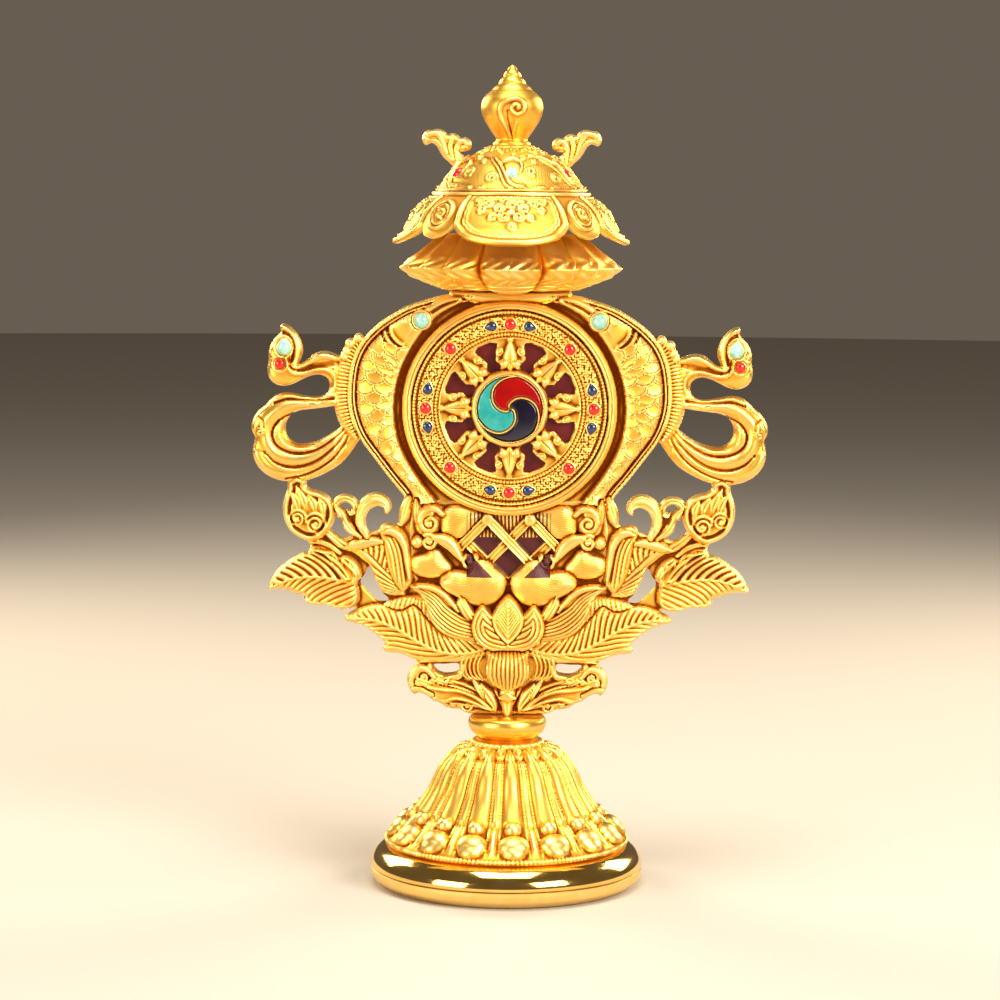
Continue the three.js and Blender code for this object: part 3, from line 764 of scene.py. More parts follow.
    def scales(self, along: Array, t: Array, width: Array) -> Array:
        """Relief of overlapping scales, laid from the tail to the head.

        Args:
            along: distance from the mouth along the outer edge.
            t: place across the body, 0 at the rim and 1 at the inner edge.
            width: width of the fish there.

        Returns:
            The height that the scales add.
        """
        across = t * (width - 2.3)
        added = np.zeros(along.shape)
        rows = 15
        for row in range(rows, -1, -1):
            middle = 25.5 + 3.35 * row
            radius = self.scale_radius * (1.0 - 0.022 * row)
            local = np.interp(middle, [20, 45, 60, 75, 90], [8.4, 8.8, 8.6, 6.2, 4.6])
            places = (0.24, 0.8) if row % 2 else (-0.05, 0.52, 1.05)
            for share in places:
                dx, dy = along - middle, across - share * local
                r = np.hypot(dx * 0.92, dy) / radius
                on = r < 1.0
                lines = 0.16 * np.cos(TAU * (dy * 0.55 + dx * 0.75) / 0.55) * unit((0.74 - r) * 5.0)
                shape = 0.3 + 0.55 * r**2 - 0.55 * mound(r - 0.83, 0.07) + 0.06 * lines
                shape = shape - 0.9 * unit((r - 0.94) / 0.06)
                added = np.where(on & (dx > -radius * 0.75), shape, added)
        return added * unit((along - 19.0) / 2.0) * unit((92.0 - along) / 6.0)

    def tail_hatching(self, sheet: Sheet, along: Array) -> Array:
        """Fine crossed hatching on the tail."""
        one = groove((sheet.x + sheet.z) / 0.75, 2.0)
        two = groove((sheet.x - sheet.z) / 0.75, 2.0)
        return -0.22 * np.maximum(one, two) * unit((along - 80.0) / 4.0)

    def head(self, sheet: Sheet, inside: Array) -> None:
        """Lays the cheek, the gill ridges, the eye seat and the beak."""
        gill = np.hypot(sheet.x - 24.0, sheet.z - 141.0)
        upper = (sheet.z > 133.8 + 0.35 * (sheet.x - 24.0)) & (inside > 0.2)
        cheek = upper & (gill < 6.0) & (inside > 2.2)
        smooth = 4.3 + 0.9 * unit(1.0 - (gill / 6.0) ** 2)
        sheet.front = np.where(cheek, smooth, sheet.front)
        lower = (sheet.x > 24.4 - 0.1 * (sheet.z - 135.0)) & upper & (inside > 2.2)
        for radius, high in ((5.9, 0.9), (7.5, 0.7)):
            sheet.front = sheet.front + high * mound(gill - radius, 0.6) * lower
            sheet.front = sheet.front - 0.7 * mound(gill - radius - 0.85, 0.5) * lower
        beak = Chasing(base=3.6, crown=1.5)
        petal(sheet, [(20.6, 144.0, 0.8), (18.2, 145.6, 0.85), (15.2, 146.8, 0.75), (12.4, 147.0, 0.45)], beak)
        petal(sheet, [(20.2, 142.4, 0.9), (17.6, 144.2, 0.9), (14.6, 145.7, 0.75), (12.2, 146.6, 0.4)], beak)
        sheet.line([(19.4, 143.5), (16.6, 145.2), (13.4, 146.4)], 0.35, -0.9)
        sheet.line(spiral((21.0, 145.6), 0.9, 1.1, 200.0), 0.28, 0.5)
        sheet.line([(25.0, 141.4), (26.0, 140.8), (26.2, 141.8)], 0.3, 0.4)
        seat = np.hypot(sheet.x - 22.0, sheet.z - 141.7)
        sheet.front = np.where(seat < 2.7, np.maximum(sheet.front * 0.0 + 4.1, 4.1), sheet.front)
        sheet.front = sheet.front + 0.75 * mound(seat - 2.25, 0.42)
        fin = Chasing(base=1.6, crown=1.0, stripes=3)
        petal(sheet, [(24.8, 97.5, 1.0), (26.0, 93.5, 1.5), (26.6, 90.6, 0.5)], fin)
        petal(sheet, [(23.0, 97.0, 0.8), (22.9, 92.5, 1.3), (22.0, 89.0, 0.4)], fin)

    def ring(self, sheet: Sheet) -> None:
        """Turns the ring: a rounded outer slope with two bright lines inside it."""
        radius = np.hypot(sheet.x, sheet.z - self.centre_height)
        inside = np.minimum(self.ring_outer - radius, radius - self.ring_inner)
        t = unit((self.ring_outer - radius) / (self.ring_outer - self.ring_inner))
        height = self.ring_height * (0.66 + 0.34 * quarter_round(t * 1.6))
        height = height + 0.35 * mound(radius - 25.75, 0.3) - 0.5 * mound(radius - 25.4, 0.25)
        height = height + 0.3 * mound(radius - 25.05, 0.28)
        part = inside > 0
        sheet.front[part] = height[part]
        np.maximum(sheet.edge, inside, out=sheet.edge)


@dataclass
class Ribbons:
    """The two fluttering ribbons beside the wheel, each with a hooked head and a great folded loop."""

    step: float = 0.25
    outline: Line = (
        (40.6, 130.0), (41.2, 132.0), (43.0, 132.9), (45.0, 133.6), (46.8, 133.7), (48.4, 133.2), (50.0, 132.0),
        (51.2, 131.0), (52.4, 130.6), (51.8, 132.2), (51.5, 134.0), (52.0, 136.2), (53.0, 138.1), (54.4, 139.6),
        (55.6, 140.3), (56.6, 140.5), (57.2, 139.9), (57.1, 138.8), (57.2, 138.1), (58.4, 137.0), (59.5, 135.4),
        (60.1, 133.4), (60.1, 131.4), (60.4, 129.2), (60.2, 127.4), (59.3, 126.0), (57.8, 125.1), (56.0, 124.9),
        (54.0, 125.4), (52.0, 126.4), (50.0, 127.3), (48.0, 127.8), (46.4, 127.5), (45.3, 126.6), (44.9, 125.2),
        (45.2, 123.8), (46.0, 122.9), (47.5, 122.4), (49.5, 122.4), (52.0, 122.8), (54.0, 123.2), (56.0, 123.3),
        (58.0, 122.7), (59.6, 121.5), (60.8, 120.2), (62.2, 119.1), (63.4, 117.7), (64.2, 116.0), (64.4, 114.4),
        (64.0, 113.0), (63.5, 112.0), (63.8, 110.4), (64.1, 108.4), (63.6, 106.2), (62.5, 104.3), (61.0, 102.9),
        (59.0, 101.8), (57.0, 101.2), (55.0, 101.0), (53.0, 101.2), (51.0, 101.2), (49.0, 101.8), (47.0, 102.6),
        (44.5, 103.9), (42.0, 105.6), (40.0, 107.8), (38.6, 109.8), (37.6, 111.4), (36.8, 113.4), (38.6, 117.0),
        (39.8, 121.0), (39.8, 126.0),
    )
    hole: Line = (
        (43.3, 119.9), (46.0, 119.6), (50.0, 119.1), (52.2, 118.8), (54.0, 118.0), (55.3, 116.6), (55.8, 114.8),
        (55.5, 112.8), (54.3, 111.4), (52.5, 110.6), (50.4, 110.7), (48.0, 111.3), (45.5, 112.5), (43.2, 114.0),
        (41.8, 115.3), (42.0, 116.5), (43.1, 118.0),
    )

    def build(self) -> list[bpy.types.Object]:
        """Works the sheet of the right ribbon and casts both."""
        sheet = Sheet((34.0, 99.0), (66.0, 142.0), self.step)
        box, inside = sheet.area(self.outline)
        hole_box, in_hole = sheet.area(self.hole)
        edge = np.full(sheet.x.shape, -5.0)
        edge[box] = inside
        edge[hole_box] = np.minimum(edge[hole_box], -in_hole)
        sheet.edge = edge
        sheet.front = 1.5 + 1.5 * quarter_round(edge / 3.2)
        self.folds(sheet)
        self.head(sheet)
        # The end that tucks behind the frill lies low, so that the frill stands in front of it.
        near = unit((sheet.x - 40.5) / 3.0)
        sheet.front = sheet.front * (0.45 + 0.55 * near)
        form = Rounding(radius=1.0, back=1.8, carving=0.5)
        return [cast("ribbon_right", sheet, form), cast("ribbon_left", sheet, form, side=-1)]

    def folds(self, sheet: Sheet) -> None:
        """Raises the long folds of the loop and cuts the lines between them."""
        crest = [(43, 120.8), (50, 120.5), (55, 120.0), (58.6, 118.2), (60.8, 115.0), (60.4, 111.0), (58.2, 108.0)]
        crest += [(54.4, 106.7), (50.2, 107.1), (46.4, 109.0), (41.8, 113.0)]
        sheet.line([(x, z, 1.0) for x, z in crest], 1.9, 0.8)
        lower = [(63.2, 108.0), (60.5, 104.6), (56.0, 103.2), (51.0, 104.0), (46.6, 106.0), (42.6, 109.0)]
        sheet.line(lower, 1.7, 0.5)
        inner = [(54.0, 118.3), (57.4, 116.4), (59.0, 113.6), (58.3, 110.7), (55.6, 108.8), (52.2, 108.2)]
        inner += [(48.2, 109.1), (44.2, 111.6), (41.2, 114.4)]
        sheet.line(inner, 0.42, -1.0)
        sheet.line([(56.6, 116.2), (57.2, 113.6), (56.3, 110.9), (53.4, 109.4), (49.8, 109.6), (44.6, 112.6)], 0.7, 0.5)
        second = [(61.0, 108.6), (58.6, 106.2), (55.2, 105.0), (51.4, 105.2), (47.2, 107.0), (43.0, 110.6)]
        sheet.line(second + [(40.8, 113.4)], 0.4, -0.7)
        sheet.line([(x - 0.3, z - 0.8) for x, z in second + [(40.6, 113.0)]], 0.4, 0.5)
        third = [(55.6, 101.9), (52.0, 102.6), (48.0, 104.2), (44.4, 106.6), (41.8, 109.6), (40.2, 112.4)]
        sheet.line(third, 0.45, -0.9)
        upper = [(43.6, 122.0), (48.0, 121.5), (52.0, 121.6), (55.4, 121.7), (58.6, 120.7)]
        sheet.line(upper, 0.42, -1.0)
        sheet.line([(x, z + 0.9) for x, z in upper], 0.5, 0.45)
        sheet.line([(44.0, 120.9), (47.0, 121.0), (50.0, 120.6)], 0.25, -0.4)
        shadow = [(62.6, 117.4), (61.4, 116.4), (61.0, 114.8)]
        sheet.line(shadow, 0.5, -0.5)
        sheet.line(spiral((62.1, 113.6), 1.15, 1.2, 60.0), 0.34, 0.75)
        sheet.ball(62.1, 113.6, 0.5, 0.7, 2.7, outline=False)

    def head(self, sheet: Sheet) -> None:
        """Shapes the arm and the hooked head with its two stone seats."""
        sheet.line([(41.5, 132.0), (45.6, 132.8), (48.6, 132.1), (51.0, 130.4), (53.2, 129.6)], 1.2, 0.9)
        sheet.line([(42.6, 130.8), (46.0, 130.4), (49.0, 129.9), (52.0, 129.2)], 1.0, -0.8)
        lip = [(44.6, 123.0), (43.4, 125.0), (43.6, 127.6), (45.4, 129.0), (48.0, 129.2), (51.0, 128.2)]
        sheet.line(lip + [(53.8, 128.3), (55.2, 130.0), (55.5, 132.0)], 0.6, 0.75)
        sheet.line([(52.6, 129.0), (54.4, 129.6), (54.9, 131.4), (54.9, 133.0)], 0.4, -0.9)
        rim = [(57.0, 139.6), (55.4, 139.4), (53.6, 137.6), (52.6, 135.2), (52.6, 132.8), (53.2, 130.9)]
        sheet.line(rim, 0.75, 0.7)
        sheet.line([(56.2, 138.3), (54.8, 137.4), (53.9, 135.4), (53.9, 133.0), (54.3, 131.2)], 0.6, -1.2)
        sheet.line([(59.2, 133.0), (58.6, 132.2), (59.2, 131.6)], 0.35, 0.5)
        for x, z, radius in ((56.1, 134.8, 2.25), (57.1, 130.5, 1.75)):
            away = np.hypot(sheet.x - x, (sheet.z - z) * (0.86 if z > 132 else 1.0))
            sheet.front = np.where(away < radius, 2.5, sheet.front) + 0.55 * mound(away - radius - 0.1, 0.4)


@dataclass
class Leaves:
    """The side sprays: great veined leaf, long feathered leaf, upright leaf, bud and curling stems."""

    step: float = 0.2
    web: float = 0.6
    web_outline: Line = (
        (50.0, 86.6), (49.6, 83.6), (44.0, 77.0), (37.6, 74.6), (37.4, 71.8), (38.8, 69.6), (36.0, 66.0),
        (27.0, 60.0), (12.0, 58.6), (3.0, 60.0), (3.0, 66.0), (18.0, 78.0), (20.0, 92.0), (25.8, 95.6),
        (27.6, 90.8), (34.8, 88.3), (37.4, 87.6), (40.2, 87.2), (42.4, 87.2), (44.6, 89.4), (46.6, 88.4),
    )
    gap: Line = (
        (37.0, 75.8), (35.9, 78.0), (35.3, 79.6), (34.5, 79.4), (33.9, 77.8), (32.8, 75.5), (31.5, 73.2),
        (30.1, 71.9), (30.6, 71.2), (32.8, 71.3), (34.6, 73.0),
    )
    outer: Line = (
        (60.2, 73.8), (59.8, 75.6), (58.8, 77.6), (57.4, 79.3), (55.4, 81.0), (53.0, 82.6), (51.0, 83.5),
        (50.2, 83.4), (49.7, 84.8), (49.0, 85.0), (46.4, 85.1), (44.4, 84.4), (43.0, 83.0), (42.0, 82.4),
        (41.2, 82.8), (39.6, 82.4), (38.0, 81.2), (37.0, 79.4), (36.8, 77.4), (37.8, 75.8), (37.4, 74.0),
        (37.3, 71.6), (38.6, 69.8), (40.6, 68.9), (43.0, 69.0), (45.4, 69.9), (48.0, 69.8), (50.2, 70.3),
        (51.3, 71.5), (51.2, 72.5), (53.0, 72.7), (55.4, 73.6), (58.0, 73.9),
    )
    long_leaf: Line = (
        (3.0, 60.8), (8.0, 57.6), (15.0, 55.8), (22.0, 56.0), (27.0, 57.8), (30.4, 58.2), (31.5, 59.2),
        (31.0, 60.6), (33.0, 62.4), (36.0, 64.6), (39.0, 65.6), (41.0, 66.2), (40.6, 67.6), (39.0, 68.6),
        (36.0, 69.8), (33.4, 70.4), (31.0, 70.2), (27.0, 69.2), (23.4, 70.6), (20.0, 67.0), (16.0, 63.4),
        (10.0, 62.2),
    )
    upright: Line = (
        (26.0, 73.8), (24.0, 76.6), (24.2, 80.0), (24.6, 84.0), (25.2, 86.6), (26.4, 88.8), (28.4, 90.4),
        (30.4, 90.9), (31.9, 90.2), (32.4, 88.8), (31.6, 87.0), (31.0, 84.0), (30.0, 79.0), (28.0, 75.0),
    )
    frond: Line = (
        (25.6, 73.2), (28.0, 72.6), (30.6, 73.0), (32.2, 74.4), (33.4, 76.4), (34.6, 78.4), (34.8, 80.2),
        (36.2, 81.4), (38.0, 82.9), (40.2, 84.2), (41.0, 85.0), (39.0, 86.4), (36.0, 87.3), (33.2, 87.1),
        (31.0, 86.4), (29.4, 82.0), (27.6, 77.0),
    )
    bud: Line = (
        (55.2, 101.2), (55.4, 99.2), (56.2, 96.8), (56.6, 94.2), (56.1, 91.2), (54.7, 88.7), (52.6, 87.1),
        (50.2, 86.2), (48.2, 86.4), (46.0, 87.6), (44.4, 89.6), (43.5, 91.6), (43.3, 93.8), (43.9, 96.0),
        (45.4, 97.8), (47.4, 98.8), (49.4, 99.3), (50.6, 100.2), (50.6, 101.6), (53.0, 102.6),
    )

    def build(self) -> list[bpy.types.Object]:
        """Works the sheet of the right spray and casts both."""
        sheet = Sheet((2.0, 54.0), (62.0, 104.0), self.step)
        sheet.plate(self.web_outline, self.web)
        self.inner_leaves(sheet)
        self.long_feather(sheet)
        self.outer_leaf(sheet)
        self.stems(sheet)
        self.peach(sheet)
        form = Rounding(radius=0.7, back=1.7, carving=0.3)
        return [cast("leaves_right", sheet, form), cast("leaves_left", sheet, form, side=-1)]

    def outer_leaf(self, sheet: Sheet) -> None:
        """The great leaf with puffed veins above the midrib and long stripes below it."""
        midrib = [(37.5, 75.6), (41.0, 76.3), (45.0, 77.0), (50.0, 77.3), (55.0, 76.4), (60.2, 74.0)]
        how = Chasing(base=1.5, crown=1.5, tip_drop=0.4)
        s = leaf(sheet, self.outer, midrib, how, reach=3.0)
        upper = s.across > 0
        along, side = s.along, np.abs(s.across)
        puffs = (along - 0.72 * side - 0.10 * side**2) / 2.35
        stripes = (along - 1.9 * side + 0.06 * side**2) / 2.5
        field = eased((s.inside - 0.5) / 0.5) * eased(side / 0.5)
        swell = np.where(upper, 0.95 * (cord(puffs) ** 1.4 - 0.55), 0.62 * (cord(stripes) - 0.6))
        part = sheet.front[s.box]
        part += np.where(s.inside > 0, swell * field, 0.0)
        sheet.line([(p[0], p[1], 1.0 - 0.05 * i) for i, p in enumerate(midrib)], 0.5, 0.45)
        rim = [(59.6, 74.6), (58.0, 77.6), (55.0, 80.6), (52.0, 82.4), (50.4, 82.8)]
        sheet.line(rim, 0.45, 0.35)
        for shift in range(4):
            k = 1.15 * shift
            arc = [(49.0 - k, 84.0 - 0.1 * k), (46.6 - 0.8 * k, 83.9 - 0.2 * k), (44.6 - 0.6 * k, 81.8 - 0.2 * k)]
            arc += [(43.0 - 0.5 * k, 79.2), (40.6 - 0.3 * k, 76.8)]
            sheet.line(arc, 0.5, 0.75)
            sheet.line([(x + 0.45, z + 0.35) for x, z in arc], 0.22, -0.5)
        stipule = Chasing(base=2.2, crown=0.8, stripes=3, stripe_depth=0.4)
        petal(sheet, [(38.6, 76.4, 0.4), (40.6, 79.4, 1.5), (41.6, 82.0, 0.3)], stipule, over=False)
        petal(sheet, [(38.2, 76.4, 0.4), (38.8, 79.4, 1.3), (39.6, 81.6, 0.3)], stipule, over=False)
        lip = [(38.0, 71.4), (39.6, 70.0), (43.0, 69.9), (46.4, 70.6), (50.0, 70.9), (50.6, 72.2)]
        sheet.line(lip, 0.35, 0.4)
        sheet.line([(50.9, 73.0), (53.6, 73.6), (57.0, 74.6)], 0.3, -0.4)

    def long_feather(self, sheet: Sheet) -> None:
        """The long leaf under the lotus, with its feathered back blade."""
        back = Chasing(base=1.4, crown=1.2, puff=0.7, vein_pitch=1.45, vein_lean=0.55)
        leaf(sheet, [(12, 60), (20, 60), (30, 63), (33, 68), (29, 71.6), (22, 72.6), (14, 68)],
             [(10.0, 59.6), (18.0, 60.6), (26.0, 64.0), (33.0, 69.0)], back, over=False)
        midrib = [(4.0, 60.2), (8.0, 58.7), (13.0, 58.2), (18.0, 59.0), (23.0, 61.4), (28.0, 64.4), (34.0, 66.6)]
        midrib += [(41.0, 66.8)]
        s = leaf(sheet, self.long_leaf, midrib, Chasing(base=1.7, crown=1.5, tip_drop=0.4), reach=2.6)
        upper = s.across > 0
        side = np.abs(s.across)
        field = eased((s.inside - 0.45) / 0.5) * eased(side / 0.45)
        high = (s.along - 0.85 * side) / 1.75
        low = (s.along - 2.6 * side) / 3.4
        swell = np.where(upper, 0.8 * (cord(high) - 0.6), 0.6 * (cord(low) - 0.6))
        sheet.front[s.box] += np.where(s.inside > 0, swell * field, 0.0)
        sheet.line(midrib, 0.45, 0.4)

    def inner_leaves(self, sheet: Sheet) -> None:
        """The upright leaf with its rolled edge and the frond behind it."""
        spine = [(25.6, 73.6), (29.0, 77.4), (32.0, 80.6), (35.0, 83.4), (40.6, 84.9)]
        s = leaf(sheet, self.frond, spine, Chasing(base=1.5, crown=1.3), reach=2.2)
        low = s.across < 0
        side = np.abs(s.across)
        ribs = np.where(low, (s.along + 0.2 * side) / 1.9, (s.along - 0.7 * side) / 1.5)
        fan = np.arctan2(sheet.z[s.box] - 73.0, sheet.x[s.box] - 24.6) / math.radians(7.5)
        pattern = np.where(low, cord(fan), cord(ribs))
        field = eased((s.inside - 0.35) / 0.4)
        sheet.front[s.box] += np.where(s.inside > 0, 0.8 * (pattern - 0.6) * field, 0.0)
        petal(sheet, [(31.2, 86.2, 0.5), (34.0, 86.2, 1.1), (37.4, 85.4, 1.2), (41.0, 84.6, 0.3)],
              Chasing(base=2.6, crown=0.9))
        spine = [(26.4, 73.6), (27.0, 78.0), (27.8, 83.0), (29.0, 86.4), (31.0, 89.4)]
        s = leaf(sheet, self.upright, spine, Chasing(base=2.3, crown=1.2), reach=2.0)
        ribs = cord((s.across - 0.2) / 1.05)
        inner = (s.across > -2.2) & (sheet.z[s.box] < 87.4)
        field = eased((s.inside - 0.7) / 0.5) * inner
        sheet.front[s.box] += np.where(s.inside > 0, 0.7 * (ribs - 0.6) * field, 0.0)
        roll = [(24.6, 77.0, 0.5), (25.2, 81.0, 0.8), (25.8, 85.0, 1.0), (27.4, 88.0, 1.2), (29.6, 89.0, 1.0)]
        petal(sheet, roll + [(31.4, 88.6, 0.5)], Chasing(base=3.2, crown=1.5))

    def stems(self, sheet: Sheet) -> None:
        """The curling stems between bud and leaf, each with a groove along it."""
        upper = Chasing(base=1.4, crown=1.0, midrib=-0.5, midrib_width=0.35)
        ridge = Chasing(base=1.5, crown=1.3, midrib=-0.7, midrib_width=0.4)
        petal(sheet, [(45.8, 89.0, 0.9), (43.6, 87.0, 1.1), (41.2, 85.2, 1.1), (38.6, 84.3, 0.8)], upper, over=False)
        arch = [(43.6, 94.9, 0.9), (42.6, 96.4, 1.1), (40.8, 97.0, 1.1), (39.0, 96.2, 1.1), (38.3, 94.4, 0.9)]
        petal(sheet, arch + [(39.4, 93.2, 0.6), (40.4, 94.0, 0.4)], ridge)
        tongue = [(43.2, 94.8, 0.8), (42.0, 93.4, 1.3), (41.0, 91.2, 1.3), (39.6, 89.2, 1.2), (37.0, 87.4, 0.6)]
        petal(sheet, tongue, Chasing(base=1.8, crown=1.3, midrib=-0.4, midrib_width=0.4))
        sheet.plate([(38.0, 88.4), (39.8, 90.4), (40.4, 93.6), (38.6, 94.4), (37.2, 92.0)], 0.9)
        hook = [(35.4, 87.6, 0.9), (36.8, 90.0, 1.2), (37.0, 92.8, 1.4), (35.8, 95.4, 1.7), (33.6, 96.7, 1.8)]
        hook += [(31.6, 96.4, 1.6), (30.4, 95.0, 1.2), (30.6, 93.7, 0.6)]
        petal(sheet, hook, Chasing(base=1.6, crown=1.5, rim=0.5, rim_width=0.8, midrib=0.3, midrib_width=0.7))
        petal(sheet, [(49.6, 86.2, 0.7), (47.0, 85.9, 0.6), (44.6, 85.0, 0.6), (42.2, 83.2, 0.5)], upper, over=False)
        petal(sheet, [(25.0, 95.4, 0.8), (26.2, 92.4, 1.3), (26.9, 90.6, 0.6)], upper, over=False)
        sheet.opening(self.gap)
        bay = [(42.2, 92.1), (43.1, 90.9), (44.0, 89.5), (43.4, 88.4), (42.3, 87.4), (41.0, 87.0), (39.9, 87.2)]
        sheet.opening(bay + [(40.9, 88.4), (41.5, 90.0), (41.8, 91.6)])

    def peach(self, sheet: Sheet) -> None:
        """The rimmed bud with two spirals and striated leaflets."""
        s = leaf(sheet, self.bud, [(50.0, 86.2), (50.0, 93.0), (52.6, 101.0)], Chasing(base=1.9, crown=1.3), reach=1.6)
        field = s.inside > 0
        sheet.front[s.box] += np.where(field, 0.5 * mound(s.inside - 0.9, 0.6) - 0.8 * mound(s.inside - 1.9, 0.6), 0.0)
        sheet.line(spiral((48.2, 90.6), 2.9, 1.9, 30.0, 1.0), 0.5, 0.7)
        sheet.ball(48.2, 90.6, 0.75, 0.9, 2.9, outline=False)
        sheet.line(spiral((52.8, 92.0), 2.4, 1.9, 200.0, -1.0), 0.45, 0.65)
        sheet.ball(52.8, 92.0, 0.6, 0.8, 2.9, outline=False)
        lens = Chasing(base=2.9, crown=0.8, midrib=-0.45, midrib_width=0.35)
        petal(sheet, [(52.2, 93.6, 0.2), (52.9, 96.2, 1.2), (54.2, 98.4, 0.2)], lens, over=False)
        petal(sheet, [(50.4, 93.8, 0.2), (51.2, 96.6, 1.2), (52.6, 99.6, 0.2)], lens, over=False)
        petal(sheet, [(48.2, 93.4, 0.2), (48.8, 95.8, 1.2), (50.2, 98.0, 0.2)], lens, over=False)
        petal(sheet, [(46.2, 92.6, 0.2), (46.4, 95.0, 1.1), (47.4, 97.2, 0.2)], lens, over=False)
        sheet.line([(51.4, 101.8), (51.2, 100.6), (49.6, 99.2)], 0.5, 0.5)


@dataclass
class KnotAndClouds:
    """The endless knot and the banked clouds under the wheel, and the lotus in front of them."""

    step: float = 0.2
    bar_width: float = 1.15
    ground: float = 0.8
    ground_outline: Line = (
        (-3.0, 56.0), (6.0, 57.0), (10.0, 62.0), (20.0, 70.0), (24.6, 78.0), (25.2, 88.0), (24.6, 95.0),
        (22.0, 97.0), (14.0, 97.0), (-3.0, 94.0),
    )

    def build(self) -> bpy.types.Object:
        """Works knot and clouds on two sheets, lays one over the other and casts them."""
        knot = self.knot()
        clouds = Sheet((0.0, 46.0), (27.0, 97.4), self.step, mirrored=True)
        clouds.plate(self.ground_outline, self.ground)
        self.upper_clouds(clouds)
        self.lower_clouds(clouds)
        self.side_petals(clouds)
        self.lotus(clouds)
        self.drop(clouds)
        whole = knot
        for name in ("front", "edge", "paint"):
            setattr(whole, name, np.maximum(clouds.whole(getattr(clouds, name)), getattr(knot, name)))
        laid_over = clouds.whole(clouds.front) > knot.front
        whole.paint = np.where(laid_over & (clouds.whole(clouds.front) > self.ground + 0.3), 0.0, knot.paint)
        return cast("knot_and_clouds", whole, Rounding(radius=0.7, back=1.5, carving=0.2))

    def knot(self) -> Sheet:
        """The crossed bars, the dark diamonds and the ribbed ground between them."""
        reach = math.ceil(27.0 / self.step) * self.step
        sheet = Sheet((-reach, 46.0), (27.0, 97.4), self.step)
        clouds_width = 2 * np.arange(0.0, 27.0 + self.step, self.step).size - 1
        if sheet.x.shape[1] != clouds_width:
            columns = np.arange(-(clouds_width // 2), clouds_width // 2 + 1) * self.step
            sheet.x, sheet.z = np.meshgrid(columns, sheet.z[:, 0])
            sheet.front = np.full(sheet.x.shape, -5.0)
            sheet.edge, sheet.paint = sheet.front.copy(), np.zeros(sheet.x.shape)
        panel = (np.abs(sheet.x) < 10.5) & (sheet.z > 78.0) & (sheet.z < 94.0)
        ribs = 0.7 * cord(sheet.x / 0.95) ** 2 * (sheet.z > 87.6)
        sheet.front = np.where(panel, 0.5 + ribs, sheet.front)
        sheet.edge = np.where(panel, 1.0, sheet.edge)
        sheet.paint = np.where(panel & (ribs < 0.42), 1.0, 0.0)
        low, high = 3.0, 3.5
        self.bar(sheet, [(-9.6, 85.4), (-0.8, 76.6)], low - 0.4)
        self.bar(sheet, [(9.6, 85.4), (0.8, 76.6)], low - 0.4)
        self.bar(sheet, [(5.3, 92.2), (-5.4, 81.0)], low - 0.5)
        self.bar(sheet, [(12.6, 84.6), (5.3, 92.2)], low)
        self.bar(sheet, [(-12.6, 84.6), (-5.3, 92.2)], low)
        self.bar(sheet, [(-5.3, 92.2), (5.4, 81.0)], high)
        for side in (-1, 1):
            sheet.ball(side * 5.3, 92.0, 1.5, 0.5, low)
        return sheet

    def bar(self, sheet: Sheet, line: Line, height: float) -> None:
        """One knot bar: two raised edges with a sunk face between them."""
        s = sheet.stroke([(x, z, self.bar_width) for x, z in line])
        profile = height - 0.5 * eased((s.inside - 0.3) / 0.3) + 0.25 * eased((s.inside - 0.75) / 0.3)
        sheet.lay(s, profile, over=True)
        part = sheet.paint[s.box]
        part[s.inside > 0] = 0.0

    def upper_clouds(self, sheet: Sheet) -> None:
        """The upper tier: a crested spiral and a finely lined lobe on each side."""
        lobe = [(6.8, 93.2), (9.0, 90.4), (11.6, 87.6), (14.4, 87.2), (16.6, 88.6), (17.2, 91.2), (16.6, 93.8),
                (15.2, 95.0), (13.4, 95.6), (10.0, 94.6)]
        s = leaf(sheet, lobe, [(15.0, 88.0), (9.6, 94.6)], Chasing(base=2.0, crown=1.9), over=False, reach=3.4)
        self.engrave(sheet, s, (13.4, 84.6), 0.55)
        back = [(22.9, 89.0), (23.2, 92.0), (22.2, 94.6), (20.4, 96.0), (18.2, 95.6), (16.4, 94.6), (16.8, 91.0),
                (18.0, 88.6), (20.6, 87.8)]
        leaf(sheet, back, [(20.0, 88.0), (20.0, 95.8)], Chasing(base=2.0, crown=1.4), over=False)
        crest = [(16.6, 93.4, 0.7), (18.0, 94.6, 0.9), (20.0, 94.7, 1.0), (21.6, 93.5, 1.0), (22.3, 91.6, 0.8)]
        petal(sheet, crest, Chasing(base=3.2, crown=1.2), over=False)
        curl(sheet, (19.7, 91.1), 2.5, 1.6, 100.0, -1.0, 3.2)

